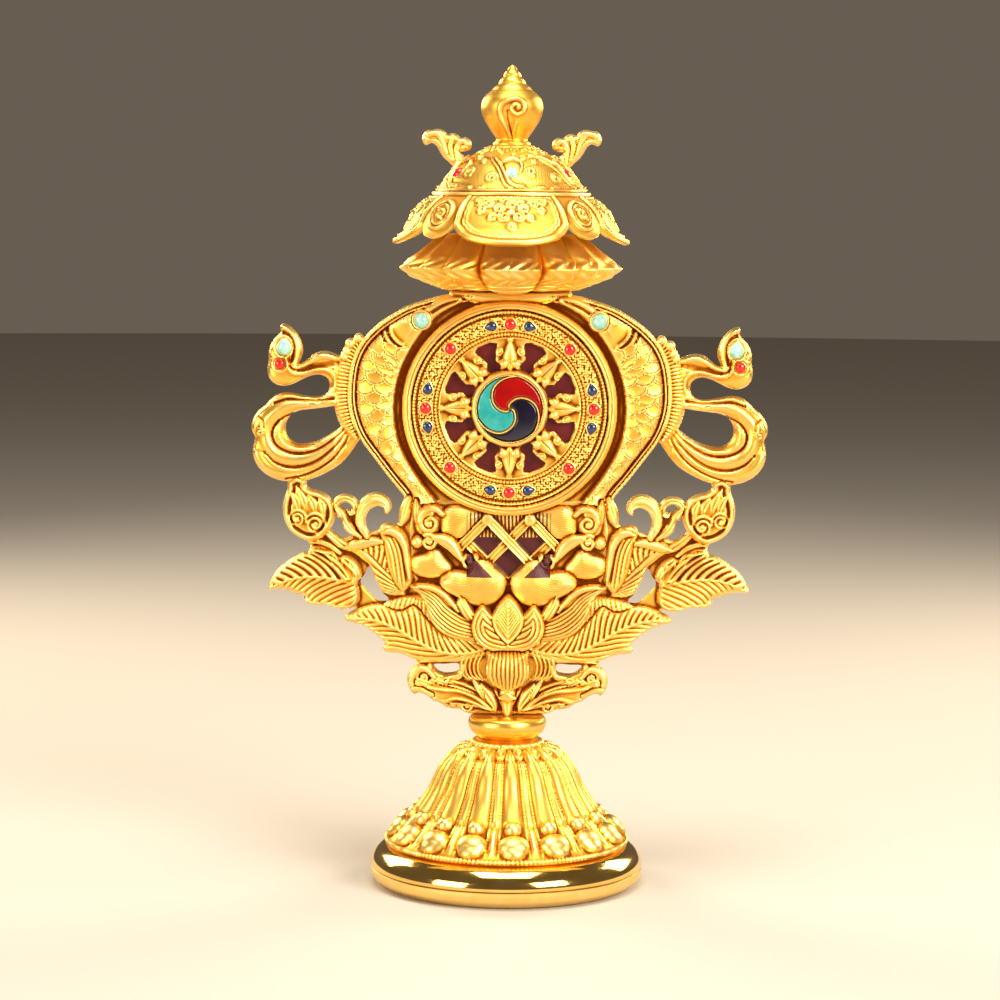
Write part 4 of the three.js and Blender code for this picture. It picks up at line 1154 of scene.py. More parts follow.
    def lower_clouds(self, sheet: Sheet) -> None:
        """The lower tiers: the hatched lobe, the tailed spiral and the heart-shaped lobe in front."""
        second = [(24.6, 81.2), (23.6, 82.6), (21.0, 83.4), (19.0, 84.6), (17.4, 84.4), (15.8, 82.4), (14.0, 80.0),
                  (15.4, 78.0), (18.4, 77.2), (21.4, 77.4), (24.0, 78.8)]
        s = leaf(sheet, second, [(14.0, 80.0), (24.6, 81.0)], Chasing(base=2.0, crown=2.2), over=False, reach=3.2)
        self.engrave(sheet, s, (17.0, 88.6), 0.55)
        sheet.ball(22.8, 86.2, 1.5, 1.5, 2.4)
        tail = [(18.6, 87.6, 0.9), (16.4, 87.0, 1.5), (14.4, 85.8, 1.6), (12.8, 83.8, 1.2), (11.8, 82.2, 0.7)]
        petal(sheet, tail, Chasing(base=3.4, crown=1.5))
        curl(sheet, (19.9, 86.4), 2.0, 1.5, 60.0, 1.0, 3.6)
        sheet.ball(12.7, 84.8, 0.6, 0.6, 3.8)
        heart = [(0.6, 77.0), (0.9, 78.4), (2.4, 79.6), (4.0, 80.8), (5.6, 81.8), (7.4, 81.9), (9.0, 80.8),
                 (10.4, 79.0), (12.0, 79.2), (14.0, 79.2), (15.9, 78.3), (17.1, 76.9), (16.8, 75.4), (15.4, 74.0),
                 (13.4, 73.0), (11.0, 71.8), (8.0, 70.6), (4.0, 71.0), (1.4, 73.4), (0.6, 75.4)]
        s = leaf(sheet, heart, [(2.0, 74.0), (15.0, 76.0)], Chasing(base=3.6, crown=3.0), reach=4.6)
        self.engrave(sheet, s, (11.6, 81.6), 0.55)
        rim = [(10.4, 79.6), (8.8, 81.4), (7.0, 82.2), (5.2, 81.6), (3.8, 80.4)]
        sheet.line(rim, 0.6, 0.8)
        curl(sheet, (9.9, 81.9), 2.0, 1.3, 150.0, 1.0, 4.6)
        sheet.ball(9.5, 81.7, 0.85, 1.1, 5.0)

    def engrave(self, sheet: Sheet, s: Stroke, centre: Point, pitch: float) -> None:
        """Engraves fine concentric lines round a point over a lobe.

        Args:
            sheet: the sheet to work.
            s: the measured lobe.
            centre: what the lines run round, as (x, z).
            pitch: distance between the lines.
        """
        r = np.hypot(sheet.x[s.box] - centre[0], sheet.z[s.box] - centre[1])
        field = eased((s.inside - 0.35) / 0.4)
        sheet.front[s.box] -= np.where(s.inside > 0, 0.22 * groove(r / pitch, 1.5) * field, 0.0)

    def side_petals(self, sheet: Sheet) -> None:
        """The great side petal of the lotus and the small one before it."""
        outline = [(5.0, 61.6), (8.0, 61.5), (13.0, 61.9), (16.0, 63.0), (18.5, 65.0), (20.0, 67.5), (21.0, 70.5),
                   (22.2, 72.8), (24.9, 75.0), (23.6, 75.7), (21.6, 75.8), (19.0, 75.3), (17.0, 74.3),
                   (15.2, 72.8), (13.6, 70.7), (12.0, 68.8), (8.6, 67.6), (5.0, 67.6)]
        spine = [(5.0, 64.4), (9.0, 64.6), (13.0, 65.8), (16.6, 68.4), (19.6, 71.8), (24.9, 75.3)]
        s = leaf(sheet, outline, spine, Chasing(base=3.2, crown=2.0), reach=3.0)
        fan = s.across / np.interp(s.along / s.length, [0, 0.4, 0.75, 1.0], [0.72, 0.95, 0.72, 0.4])
        field = eased((s.inside - 0.3) / 0.4) * eased(s.along / 2.0)
        sheet.front[s.box] += np.where(s.inside > 0, 0.85 * (cord(fan) - 0.62) * field, 0.0)
        roll = [(12.4, 69.4, 0.5), (14.4, 71.6, 0.75), (16.4, 73.6, 0.8), (19.0, 74.9, 0.75), (22.4, 75.4, 0.5)]
        petal(sheet, roll + [(24.6, 75.2, 0.2)], Chasing(base=4.6, crown=1.0))
        low = [(6.0, 62.0, 0.3), (11.0, 61.9, 0.5), (15.4, 63.1, 0.5), (18.4, 65.6, 0.5), (20.6, 70.4, 0.4)]
        petal(sheet, low, Chasing(base=3.0, crown=0.8), over=False)
        small = [(8.0, 67.0), (8.6, 69.4), (10.2, 71.6), (11.8, 73.3), (12.8, 71.9), (12.8, 70.2), (11.6, 68.4),
                 (9.6, 66.8)]
        s = leaf(sheet, small, [(8.4, 66.6), (10.4, 69.4), (12.2, 73.0)], Chasing(base=4.4, crown=1.6), reach=1.8)
        sheet.front[s.box] += np.where(s.inside > 0, 0.6 * (cord(s.across / 0.95 + 0.5) - 0.6), 0.0)
        feathers = [(14.8, 60.2), (12.6, 60.4), (10.4, 60.6), (8.4, 60.8)]
        for x, z in feathers:
            petal(sheet, [(x - 2.0, z - 1.6, 0.3), (x, z, 0.6), (x + 1.0, z + 2.4, 0.2)],
                  Chasing(base=2.2, crown=0.9), over=False)

    def lotus(self, sheet: Sheet) -> None:
        """The front petals, each with a raised border and lines that follow it."""
        lobe = [(0.0, 59.0), (4.0, 59.4), (6.6, 60.6), (8.4, 62.6), (9.1, 65.0), (8.9, 67.2), (7.8, 69.6),
                (6.5, 71.0), (5.2, 70.0), (3.6, 68.2), (0.0, 66.0), (-3.0, 62.0)]
        s = leaf(sheet, lobe, [(-1.0, 60.6), (4.0, 61.8), (6.6, 65.4), (6.6, 71.0)], Chasing(base=5.4, crown=1.9),
                 reach=2.6)
        bands = s.inside / 1.12
        sheet.front[s.box] += np.where(s.inside > 0, 0.8 * (cord(bands) - 0.6), 0.0)
        centre = [(-4.1, 67.2), (-3.6, 69.0), (-2.4, 71.2), (0.0, 73.3), (2.4, 71.2), (3.6, 69.0), (4.1, 67.2),
                  (3.6, 65.0), (2.1, 62.9), (0.0, 61.2), (-2.1, 62.9), (-3.6, 65.0)]
        how = Chasing(base=6.2, crown=1.7, rim=0.6, rim_width=0.9, midrib=0.35, midrib_width=0.35)
        s = leaf(sheet, centre, [(0.0, 61.4), (0.0, 67.0), (0.0, 73.2)], how, reach=2.4)
        veins = (s.along - 1.5 * np.abs(s.across)) / 1.05
        field = eased((s.inside - 1.25) / 0.3) * eased(np.abs(s.across) / 0.4)
        sheet.front[s.box] += np.where(s.inside > 0, 0.55 * (cord(veins) - 0.6) * field, 0.0)

    def drop(self, sheet: Sheet) -> None:
        """The striated bud below the lotus and its side petals."""
        for shift in range(5):
            x = 7.4 + 1.05 * shift
            line = [(x - 1.2, 58.6, 0.5), (x, 55.6, 0.62), (x - 0.5, 52.8, 0.5), (x - 2.6, 51.2, 0.3)]
            petal(sheet, line, Chasing(base=2.6 - 0.15 * shift, crown=0.9), over=False)
        outline = [(-4.6, 59.4), (-5.4, 57.0), (-5.8, 54.4), (-5.4, 52.0), (-3.8, 50.2), (-1.6, 48.9), (0.0, 47.9),
                   (1.6, 48.9), (3.8, 50.2), (5.4, 52.0), (5.8, 54.4), (5.4, 57.0), (4.6, 59.4)]
        s = leaf(sheet, outline, [(0.0, 59.6), (0.0, 47.8)], Chasing(base=2.6, crown=3.6), reach=5.4)
        width = np.interp(sheet.z[s.box], [47.8, 50.0, 53.0, 56.0, 59.6], [0.35, 0.72, 1.0, 0.98, 0.78])
        ribs = cord(np.abs(s.across) / (1.12 * width) - 0.5)
        field = eased((s.inside - 0.1) / 0.5)
        sheet.front[s.box] += np.where(s.inside > 0, 0.85 * (ribs - 0.62) * field, 0.0)


@dataclass
class Bracket:
    """The carved bracket between collar and lotus, with scrolls at its ends and two small openings."""

    step: float = 0.2
    outline: Line = (
        (-3.0, 42.6), (7.4, 42.6), (9.6, 42.7), (10.8, 43.2), (12.2, 43.9), (14.0, 44.0), (15.6, 44.4),
        (17.0, 45.4), (18.6, 45.9), (20.0, 47.0), (21.2, 48.1), (22.4, 48.1), (23.4, 47.4), (24.3, 48.2),
        (25.0, 49.6), (25.3, 51.2), (24.9, 52.9), (24.0, 54.3), (22.8, 55.3), (21.6, 56.0), (19.0, 58.0),
        (14.0, 59.6), (-3.0, 60.0),
    )
    hole: Line = (
        (18.5, 55.2), (18.0, 54.2), (17.0, 53.5), (15.6, 53.1), (14.0, 53.2), (12.6, 53.6), (12.0, 54.4),
        (12.2, 55.2), (13.0, 55.5), (15.6, 55.3),
    )

    def build(self) -> bpy.types.Object:
        """Works the sheet and casts it."""
        sheet = Sheet((0.0, 42.0), (27.0, 61.0), self.step, mirrored=True)
        sheet.plate(self.outline, 1.0)
        bowl = Chasing(base=1.0, crown=1.6)
        petal(sheet, [(19.6, 55.0, 0.9), (18.4, 53.0, 1.0), (15.4, 51.9, 1.1), (12.2, 52.6, 1.0), (11.0, 54.8, 0.9)],
              bowl)
        petal(sheet, [(22.4, 56.0, 0.5), (18.0, 56.6, 0.8), (12.0, 56.8, 0.8), (6.0, 58.2, 0.7)], bowl)
        leafy = Chasing(base=2.0, crown=1.4, stripes=3, stripe_depth=0.5)
        petal(sheet, [(6.4, 46.4, 1.0), (10.0, 48.2, 2.0), (14.6, 50.0, 1.7), (18.4, 51.8, 0.8)], leafy)
        petal(sheet, [(4.0, 44.6, 0.8), (8.6, 46.4, 1.7), (13.0, 47.4, 2.2), (17.6, 48.4, 2.2), (22.0, 50.6, 1.6)],
              Chasing(base=1.9, crown=1.6, rim=0.4, rim_width=0.7))
        sheet.line([(2.9, 43.2), (5.4, 45.4), (8.4, 47.5), (12.0, 48.8), (16.0, 49.2), (20.0, 49.8)], 0.6, 0.9)
        sheet.line([(3.6, 43.2), (6.4, 45.0), (9.6, 46.4), (13.2, 47.0), (16.0, 46.2)], 0.45, 0.8)
        sheet.line([(4.6, 45.6), (7.4, 48.0), (11.6, 50.0), (15.0, 50.6)], 0.35, -0.9)
        sheet.line([(9.0, 45.4), (12.4, 46.2), (14.8, 45.6)], 0.35, -0.7)
        scroll = [(18.4, 52.2, 0.7), (20.4, 54.2, 0.9), (22.8, 53.9, 1.1), (24.2, 51.6, 1.1), (23.8, 49.6, 1.0)]
        petal(sheet, scroll + [(22.6, 48.6, 0.7)], Chasing(base=1.9, crown=1.5))
        petal(sheet, [(19.0, 47.8, 0.9), (21.6, 49.0, 1.1), (23.8, 49.2, 0.8)], Chasing(base=2.2, crown=1.2))
        curl(sheet, (21.2, 52.2), 1.7, 1.2, 60.0, -1.0, 2.4)
        curl(sheet, (18.7, 50.9), 1.4, 1.2, 160.0, 1.0, 2.6)
        curl(sheet, (14.8, 47.3), 1.3, 1.2, 100.0, 1.0, 2.8)
        curl(sheet, (10.0, 44.9), 1.5, 1.2, 20.0, -1.0, 2.6)
        curl(sheet, (13.4, 45.4), 1.2, 1.1, 200.0, -1.0, 2.4)
        curl(sheet, (15.4, 51.4), 0.9, 1.1, 30.0, 1.0, 3.0)
        lens = Chasing(base=2.4, crown=1.3, midrib=-0.5, midrib_width=0.4)
        petal(sheet, [(6.6, 50.4, 0.3), (5.2, 48.0, 1.5), (3.6, 45.6, 1.1), (3.0, 43.8, 0.3)], lens)
        petal(sheet, [(8.6, 51.6, 0.3), (7.2, 49.4, 0.8), (5.8, 46.8, 0.5)], lens)
        sheet.line([(0.9, 43.0), (1.2, 45.0), (2.2, 47.0), (3.0, 48.8)], 0.6, 1.4)
        petal(sheet, [(0.0, 43.0, 1.0), (0.0, 46.0, 1.5), (0.0, 48.0, 2.0)], Chasing(base=2.2, crown=1.2))
        petal(sheet, [(0.0, 47.4, 1.6), (1.8, 47.2, 0.5)], Chasing(base=3.0, crown=0.9))
        sheet.opening(self.hole)
        return cast("bracket", sheet, Rounding(radius=0.8, back=2.1, carving=0.2))


@dataclass
class Wheel:
    """The pierced wheel: beaded rings, pebbled band, eight carved spokes and the hub."""

    centre: float = 119.9
    radius: float = 24.4
    step: float = 0.17
    back: float = 1.7
    openings: int = 8
    ledge: float = 1.3
    ledge_shift: float = 0.45
    opening_half: Line = ((9.8, 1.1), (10.8, 1.75), (12.3, 1.0), (14.4, 1.9), (16.3, 2.95), (16.8, 1.6))

    def build(self) -> bpy.types.Object:
        """Works the wheel on its own sheet and casts it."""
        reach = math.ceil((self.radius + 0.5) / self.step) * self.step
        sheet = Sheet((-reach, self.centre - reach), (reach, self.centre + reach), self.step)
        dx, dz = sheet.x, sheet.z - self.centre
        r = np.hypot(dx, dz)
        angle = np.arctan2(dx, dz)
        sheet.edge = self.radius - r
        height = np.full(r.shape, 2.9)
        height = height + self.pebbles(dx, dz) * unit((r - 18.9) / 0.4) * unit((23.1 - r) / 0.4)
        height = self.bead_ring(height, r, angle, 23.85, 0.5, 172, 3.3)
        height = self.bead_ring(height, r, angle, 18.4, 0.46, 136, 3.3)
        height = height + 0.35 * mound(r - 19.15, 0.3)
        spoke = self.spokes(sheet, r, angle)
        height = np.where(r < 17.9, spoke, height)
        hub = 3.6 + 1.5 * unit((r - 8.2) / 0.35) - 0.9 * unit((r - 9.1) / 0.5)
        height = np.where(r < 9.6, np.maximum(hub, 3.2), height)
        height = np.where(r < 8.25, 3.4, height)
        sheet.front = height
        self.pierce(sheet)
        return cast("wheel", sheet, Rounding(radius=0.35, back=self.back, carving=0.0, flat=0.005))

    def bead_ring(self, height: Array, r: Array, angle: Array, at: float, half: float, count: int, base: float) -> Array:
        """Lays a ring of small beads.

        Args:
            height: the height so far.
            r: distance from the wheel's centre.
            angle: angle round it.
            at: radius of the ring.
            half: half width of a bead.
            count: number of beads.
            base: height of their seat.

        Returns:
            The height with the beads.
        """
        along = (angle / TAU * count) % 1.0 - 0.5
        pitch = TAU * at / count
        away = np.hypot(along * pitch, r - at)
        bead = base - 0.3 + 0.95 * quarter_round(1.0 - away / (half * 0.98))
        on = np.abs(r - at) < half + 0.12
        return np.where(on, np.maximum(bead, base - 0.45), height)

    def pebbles(self, dx: Array, dz: Array) -> Array:
        """Close-set small pebbles of uneven size, as on a matted ground."""
        random = np.random.default_rng(SEED)
        pitch = 0.62
        count = int(2 * 25.0 / pitch) + 2
        jitter = random.uniform(-0.27, 0.27, (2, count, count))
        size = random.uniform(0.75, 1.1, (count, count))
        col = np.clip(((dx + 25.0) / pitch).astype(int), 1, count - 2)
        row = np.clip(((dz + 25.0) / pitch).astype(int), 1, count - 2)
        best = np.full(dx.shape, 9.0)
        for i in (-1, 0, 1):
            for j in (-1, 0, 1):
                cx = (col + i + 0.5 + jitter[0][row + j, col + i]) * pitch - 25.0
                cz = (row + j + 0.5 + jitter[1][row + j, col + i]) * pitch - 25.0
                best = np.minimum(best, np.hypot(dx - cx, dz - cz) / size[row + j, col + i])
        return 0.75 * quarter_round(1.0 - best / 0.38)

    def spokes(self, sheet: Sheet, r: Array, angle: Array) -> Array:
        """Relief of the eight spokes: a pointed petal, two side scrolls and bright knobs by the hub."""
        eighth = TAU / self.openings
        local = (angle + eighth / 2) % eighth - eighth / 2
        across = local * r
        a = np.abs(across)
        base = 2.9 + 0.3 * self.pebbles(sheet.x * 1.3, (sheet.z - self.centre) * 1.3)
        petal_half = np.interp(r, [9.4, 10.4, 12.2, 13.6, 15.2, 17.2], [0.5, 1.5, 2.3, 1.9, 1.2, 0.1])
        petal_shape = 2.9 + 1.7 * quarter_round(unit(1.0 - a / np.maximum(petal_half, 0.05)))
        petal_shape = petal_shape - 0.45 * mound(a, 0.22) * unit((r - 10.6) / 0.6)
        knob = np.hypot(a - 1.55, r - 11.2)
        cup = np.hypot(a - 2.75, r - 14.3)
        end = np.hypot(a, r - 16.9)
        out = np.where(a < petal_half, petal_shape, base)
        out = np.maximum(out, 3.2 + 1.75 * quarter_round(1.0 - knob / 1.45))
        out = np.maximum(out, 3.0 + 1.15 * quarter_round(1.0 - cup / 1.25) - 0.5 * mound(cup - 0.55, 0.25))
        out = np.maximum(out, 3.0 + 0.9 * quarter_round(1.0 - end / 0.9))
        out = np.maximum(out, 2.9 + 0.8 * mound(r - 17.5, 0.35))
        return out

    def pierce(self, sheet: Sheet) -> None:
        """Cuts the eight openings between the spokes."""
        for i in range(self.openings):
            middle = (i + 0.5) * TAU / self.openings
            half = [(r, side / r) for r, side in self.opening_half]
            whole = half + [(r, -turn) for r, turn in reversed(half)]
            outline = [
                (r * math.sin(middle + t), self.centre + r * math.cos(middle + t)) for r, t in whole
            ]
            box, inside = sheet.area(outline, rounded=False)
            shifted = [(x + self.ledge_shift, z + self.ledge_shift) for x, z in outline]
            deep_box, deep = sheet.area(shifted, rounded=False)
            sheet.front[box] = np.where(inside > 0.0, self.ledge, sheet.front[box])
            through = np.full(sheet.x.shape, -9.0)
            through[deep_box] = deep
            through[box] = np.minimum(through[box], inside)
            through[:] = np.where(through < -8, -9.0, through)
            sheet.edge = np.minimum(sheet.edge, -through)


@dataclass
class HubEnamel:
    """Three comma-shaped enamel fields with fine milled wires between them."""

    centre: float = 119.9
    radius: float = 8.3
    floor: float = 3.3
    top: float = 5.1
    crown: float = 0.45
    step: float = 0.16
    spiral_line: Line = (
        (0.3, 204.0), (1.6, 249.0), (3.2, 275.0), (5.0, 300.0), (6.5, 322.0), (7.5, 346.0), (8.3, 372.0),
    )

    def border(self, turn: float) -> Line:
        """The wire between two fields, as (x, z) points turned by so many degrees."""
        rows = smooth_line([(math.radians(a) * 4.0, r) for r, a in self.spiral_line], 0.3)
        angles, radii = rows[:, 0] / 4.0 + math.radians(turn), rows[:, 1]
        return [(r * math.sin(a), self.centre + r * math.cos(a)) for r, a in zip(radii, angles)]

    def field_outline(self, turn: float) -> Line:
        """Closed outline of one field."""
        start, end = math.radians(372.0 + turn), math.radians(372.0 + turn + 120.0)
        rim = [
            (self.radius * math.sin(a), self.centre + self.radius * math.cos(a))
            for a in np.linspace(start, end, 40)[1:-1]
        ]
        return list(self.border(turn)) + rim + list(self.border(turn + 120.0))[::-1]

    def build(self) -> list[bpy.types.Object]:
        """Makes the three fields; their milled wires are a piece of their own."""
        made = []
        for name, turn in (("enamel_red", 0.0), ("enamel_blue", 120.0), ("enamel_turquoise", 240.0)):
            reach = math.ceil(8.6 / self.step) * self.step
            sheet = Sheet((-reach, self.centre - reach), (reach, self.centre + reach), self.step)
            box, inside = sheet.area(self.field_outline(turn), rounded=False)
            sheet.edge[box] = inside - 0.12
            r = np.hypot(sheet.x, sheet.z - self.centre)
            sheet.front = self.top + self.crown * np.sqrt(unit(1.0 - (r / 9.6) ** 2)) - 0.3
            made.append(self.slab("smooth_" + name, sheet))
        return made

    def slab(self, name: str, sheet: Sheet) -> bpy.types.Object:
        """Casts a field and brings its back up to the hub's floor."""
        piece = cast(name, sheet, Rounding(radius=0.45, back=0.0, carving=0.0, flat=0.004))
        for vertex in piece.data.vertices:
            vertex.co.y = min(vertex.co.y, -self.floor * MM)
        return piece

    def wires(self) -> bpy.types.Object:
        """Beads along the three borders and the hub's rim, one small bead copied."""
        places = []
        for turn in (0.0, 120.0, 240.0):
            rows = smooth_line(self.border(turn), 0.36)
            places += [(x, z, 0.21, self.top + 0.22) for x, z in rows[1:-1]]
        count = 116
        for i in range(count):
            a = TAU * i / count
            places.append((8.32 * math.sin(a), self.centre + 8.32 * math.cos(a), 0.2, self.top + 0.05))
        return beads("milled_wires", places, segments=8, rings=5)


def beads(name: str, places: Sequence[Point], segments: int = 8, rings: int = 5) -> bpy.types.Object:
    """Models one bead as a sphere and copies it to many places in one mesh.

    Args:
        name: the piece's name.
        places: (x, z, radius, height) of each bead.
        segments: sides of a bead.
        rings: rings of a bead.

    Returns:
        The object.
    """
    deselect()
    bpy.ops.mesh.primitive_uv_sphere_add(segments=segments, ring_count=rings, radius=1.0)
    one = bpy.context.object
    corner = np.array([v.co for v in one.data.vertices])
    faces = [tuple(p.vertices) for p in one.data.polygons]
    bpy.data.objects.remove(one)
    vertices, polygons = [], []
    for i, (x, z, radius, height) in enumerate(places):
        vertices.append((corner * radius + (x, -height, z)) * MM)
        polygons += [tuple(v + i * len(corner) for v in f) for f in faces]
    mesh = bpy.data.meshes.new(name)
    mesh.from_pydata(np.vstack(vertices).tolist(), [], polygons)
    mesh.shade_smooth()
    made = bpy.data.objects.new(name, mesh)
    bpy.context.collection.objects.link(made)
    return made


def deselect() -> None:
    """Leaves nothing selected."""
    for other in list(bpy.context.selected_objects):
        other.select_set(False)


class StoneCut(Enum):
    """Outlines of the set stones."""

    ROUND = "round"
    DROP = "drop"


@dataclass(frozen=True)
class Stone:
    """One cabochon: the CAD node it stands for, its slot, its seat and its outline."""

    node: str
    slot: str
    seat: tuple[float, float, float]
    radius: float
    cut: StoneCut = StoneCut.ROUND
    point_turn: float = 0.0
    tilt: tuple[float, float] = (0.0, 0.0)


@dataclass
class Stones:
    """All set stones, each a polished cabochon in a thin bezel."""

    wheel_centre: float = 119.9
    circle: float = 20.9
    wheel_height: float = 3.7
    dome: float = 0.72
    bezel: float = 0.24

    def on_wheel(self) -> list[Stone]:
        """The eight corals and the four pairs of lapis drops on the wheel."""
        stones = []
        for i in range(8):
            a = TAU * i / 8
            seat = (self.circle * math.sin(a), -self.wheel_height, self.wheel_centre + self.circle * math.cos(a))
            stones.append(Stone(f"wheel_coral_{i + 1}", "coral", seat, 1.5))
        for i in range(4):
            for letter, sense in (("a", -1), ("b", 1)):
                a = TAU * i / 4 + sense * math.radians(12.7)
                seat = (self.circle * math.sin(a), -self.wheel_height, self.wheel_centre + self.circle * math.cos(a))
                turn = a + sense * math.pi / 2
                stones.append(Stone(f"wheel_lapis_{i + 1}{letter}", "lapis", seat, 1.35, StoneCut.DROP, turn))
        return stones

    def on_fish_and_ribbons(self) -> list[Stone]:
        """The fish eyes and the stones in the ribbons' heads."""
        stones = []
        for side, word in ((1, "right"), (-1, "left")):
            stones.append(Stone(f"fish_eye_{word}", "turquoise", (side * 22.0, -4.3, 141.6), 1.95))
            seat = (side * 56.1, -2.6, 134.4)
            stones.append(Stone(f"ribbon_turquoise_{word}", "turquoise", seat, 1.8, StoneCut.DROP))
            stones.append(Stone(f"ribbon_coral_{word}", "coral", (side * 57.1, -2.6, 130.5), 1.4))
        return stones

    def on_canopy(self) -> list[Stone]:
        """The six stones round the dome, coral and turquoise in turn."""
        stones = []
        for i in range(6):
            a = TAU * i / 6
            slot = "coral" if i % 2 else "turquoise"
            number = i // 2 + 1
            seat = (15.1 * math.sin(a), -15.1 * math.cos(a), 177.9)
            stones.append(Stone(f"canopy_{slot}_{number}", slot, seat, 1.6, tilt=(44.0, math.degrees(a))))
        return stones

    def cabochon(self, stone: Stone, name: str, radius: float, height: float, sunk: float) -> bpy.types.Object:
        """Models a domed stone from a sphere, drawn out to a point when it is a drop.

        Args:
            stone: the stone.
            name: the piece's name.
            radius: its radius in mm.
            height: height of its dome.
            sunk: how far it goes down into its seat.

        Returns:
            The object.
        """
        deselect()
        bpy.ops.mesh.primitive_uv_sphere_add(segments=28, ring_count=16, radius=radius * MM)
        piece = bpy.context.object
        piece.name = name
        mesh = piece.data
        for vertex in mesh.vertices:
            x, y, z = vertex.co
            vertex.co = (x, -z * (height / radius) if z > 0 else -z * (sunk / radius), y)
            if stone.cut is StoneCut.DROP and vertex.co.z > 0:
                up = vertex.co.z / (radius * MM)
                vertex.co.z *= 1.0 + 0.42 * up**2
                vertex.co.x *= 1.0 - 0.3 * up**2
        place = Matrix.Translation(Vector(stone.seat) * MM)
        if stone.tilt[0]:
            place = place @ Matrix.Rotation(math.radians(stone.tilt[1]), 4, "Z")
            place = place @ Matrix.Rotation(math.radians(-stone.tilt[0]), 4, "X")
        place = place @ Matrix.Rotation(stone.point_turn, 4, "Y")
        mesh.transform(place)
        mesh.update()
        fresh = bmesh.new()
        fresh.from_mesh(mesh)
        bmesh.ops.recalc_face_normals(fresh, faces=fresh.faces)
        fresh.to_mesh(mesh)
        fresh.free()
        mesh.shade_smooth()
        return piece

    def build(self) -> list[tuple[Stone, bpy.types.Object, bpy.types.Object]]:
        """Makes every stone with its bezel."""
        made = []
        for stone in self.on_wheel() + self.on_fish_and_ribbons() + self.on_canopy():
            gem = self.cabochon(stone, "set_" + stone.node, stone.radius, stone.radius * self.dome, 0.8)
            collar = self.cabochon(stone, "bezel_" + stone.node, stone.radius + self.bezel, 0.42, 0.9)
            made.append((stone, gem, collar))
        return made


# Turned pieces


def lathe(name: str, profile: Line, steps: int = 96) -> bpy.types.Object:
    """Spins an edge drawn as (radius, height) points round the axis.

    Args:
        name: the piece's name.
        profile: the points, from bottom to top, that start and end on the axis.
        steps: steps of the spin.

    Returns:
        The object.
    """
    deselect()
    bpy.ops.mesh.primitive_plane_add(size=MM)
    piece = bpy.context.object
    piece.name = name
    drawn = bmesh.new()
    corners = [drawn.verts.new((0.0, -r * MM, z * MM)) for r, z in profile]
    for a, b in zip(corners, corners[1:]):
        drawn.edges.new((a, b))
    drawn.to_mesh(piece.data)
    drawn.free()
    bpy.ops.object.mode_set(mode="EDIT")
    bpy.ops.mesh.select_all(action="SELECT")
    bpy.ops.mesh.spin(steps=steps, angle=TAU, center=(0, 0, 0), axis=(0, 0, 1))
    bpy.ops.mesh.select_all(action="SELECT")
    bpy.ops.mesh.remove_doubles(threshold=1e-6)
    bpy.ops.mesh.normals_make_consistent(inside=False)
    bpy.ops.object.mode_set(mode="OBJECT")
    bpy.ops.object.shade_smooth_by_angle(angle=math.radians(38))
    return piece


@dataclass
class Plinth:
    """The round plinth: a mirror-polished upper bevel over a satin lower half."""

    seam: float = 4.7

    def build(self) -> list[bpy.types.Object]:
        """Spins both halves."""
        upper = smooth_line([(34.25, 4.7), (34.3, 5.4), (33.9, 6.8), (32.8, 8.4), (31.4, 9.5), (30.2, 10.0)], 0.35)
        lower = smooth_line([(29.6, 0.0), (31.4, 0.25), (33.2, 1.4), (34.1, 3.0), (34.25, 4.3)], 0.35)
        polished = lathe("plinth_polished", [(0.0, 4.75), *map(tuple, upper), (0.0, 10.0)], 160)
        satin = lathe("plinth_satin", [(0.0, 0.0), *map(tuple, lower), (33.85, 4.55), (0.0, 4.6)], 160)
        return [polished, satin]


@dataclass
class Collar:
    """The smooth cushion between foot and bracket."""

    def build(self) -> bpy.types.Object:
        """Spins the cushion."""
        drawn = [(6.6, 36.9), (7.4, 37.2), (8.9, 38.4), (9.7, 39.8), (9.8, 41.0), (9.3, 42.1), (8.4, 42.5)]
        profile = smooth_line(drawn, 0.3)
        return lathe("collar_cushion", [(0.0, 36.9), *map(tuple, profile), (0.0, 42.5)], 96)


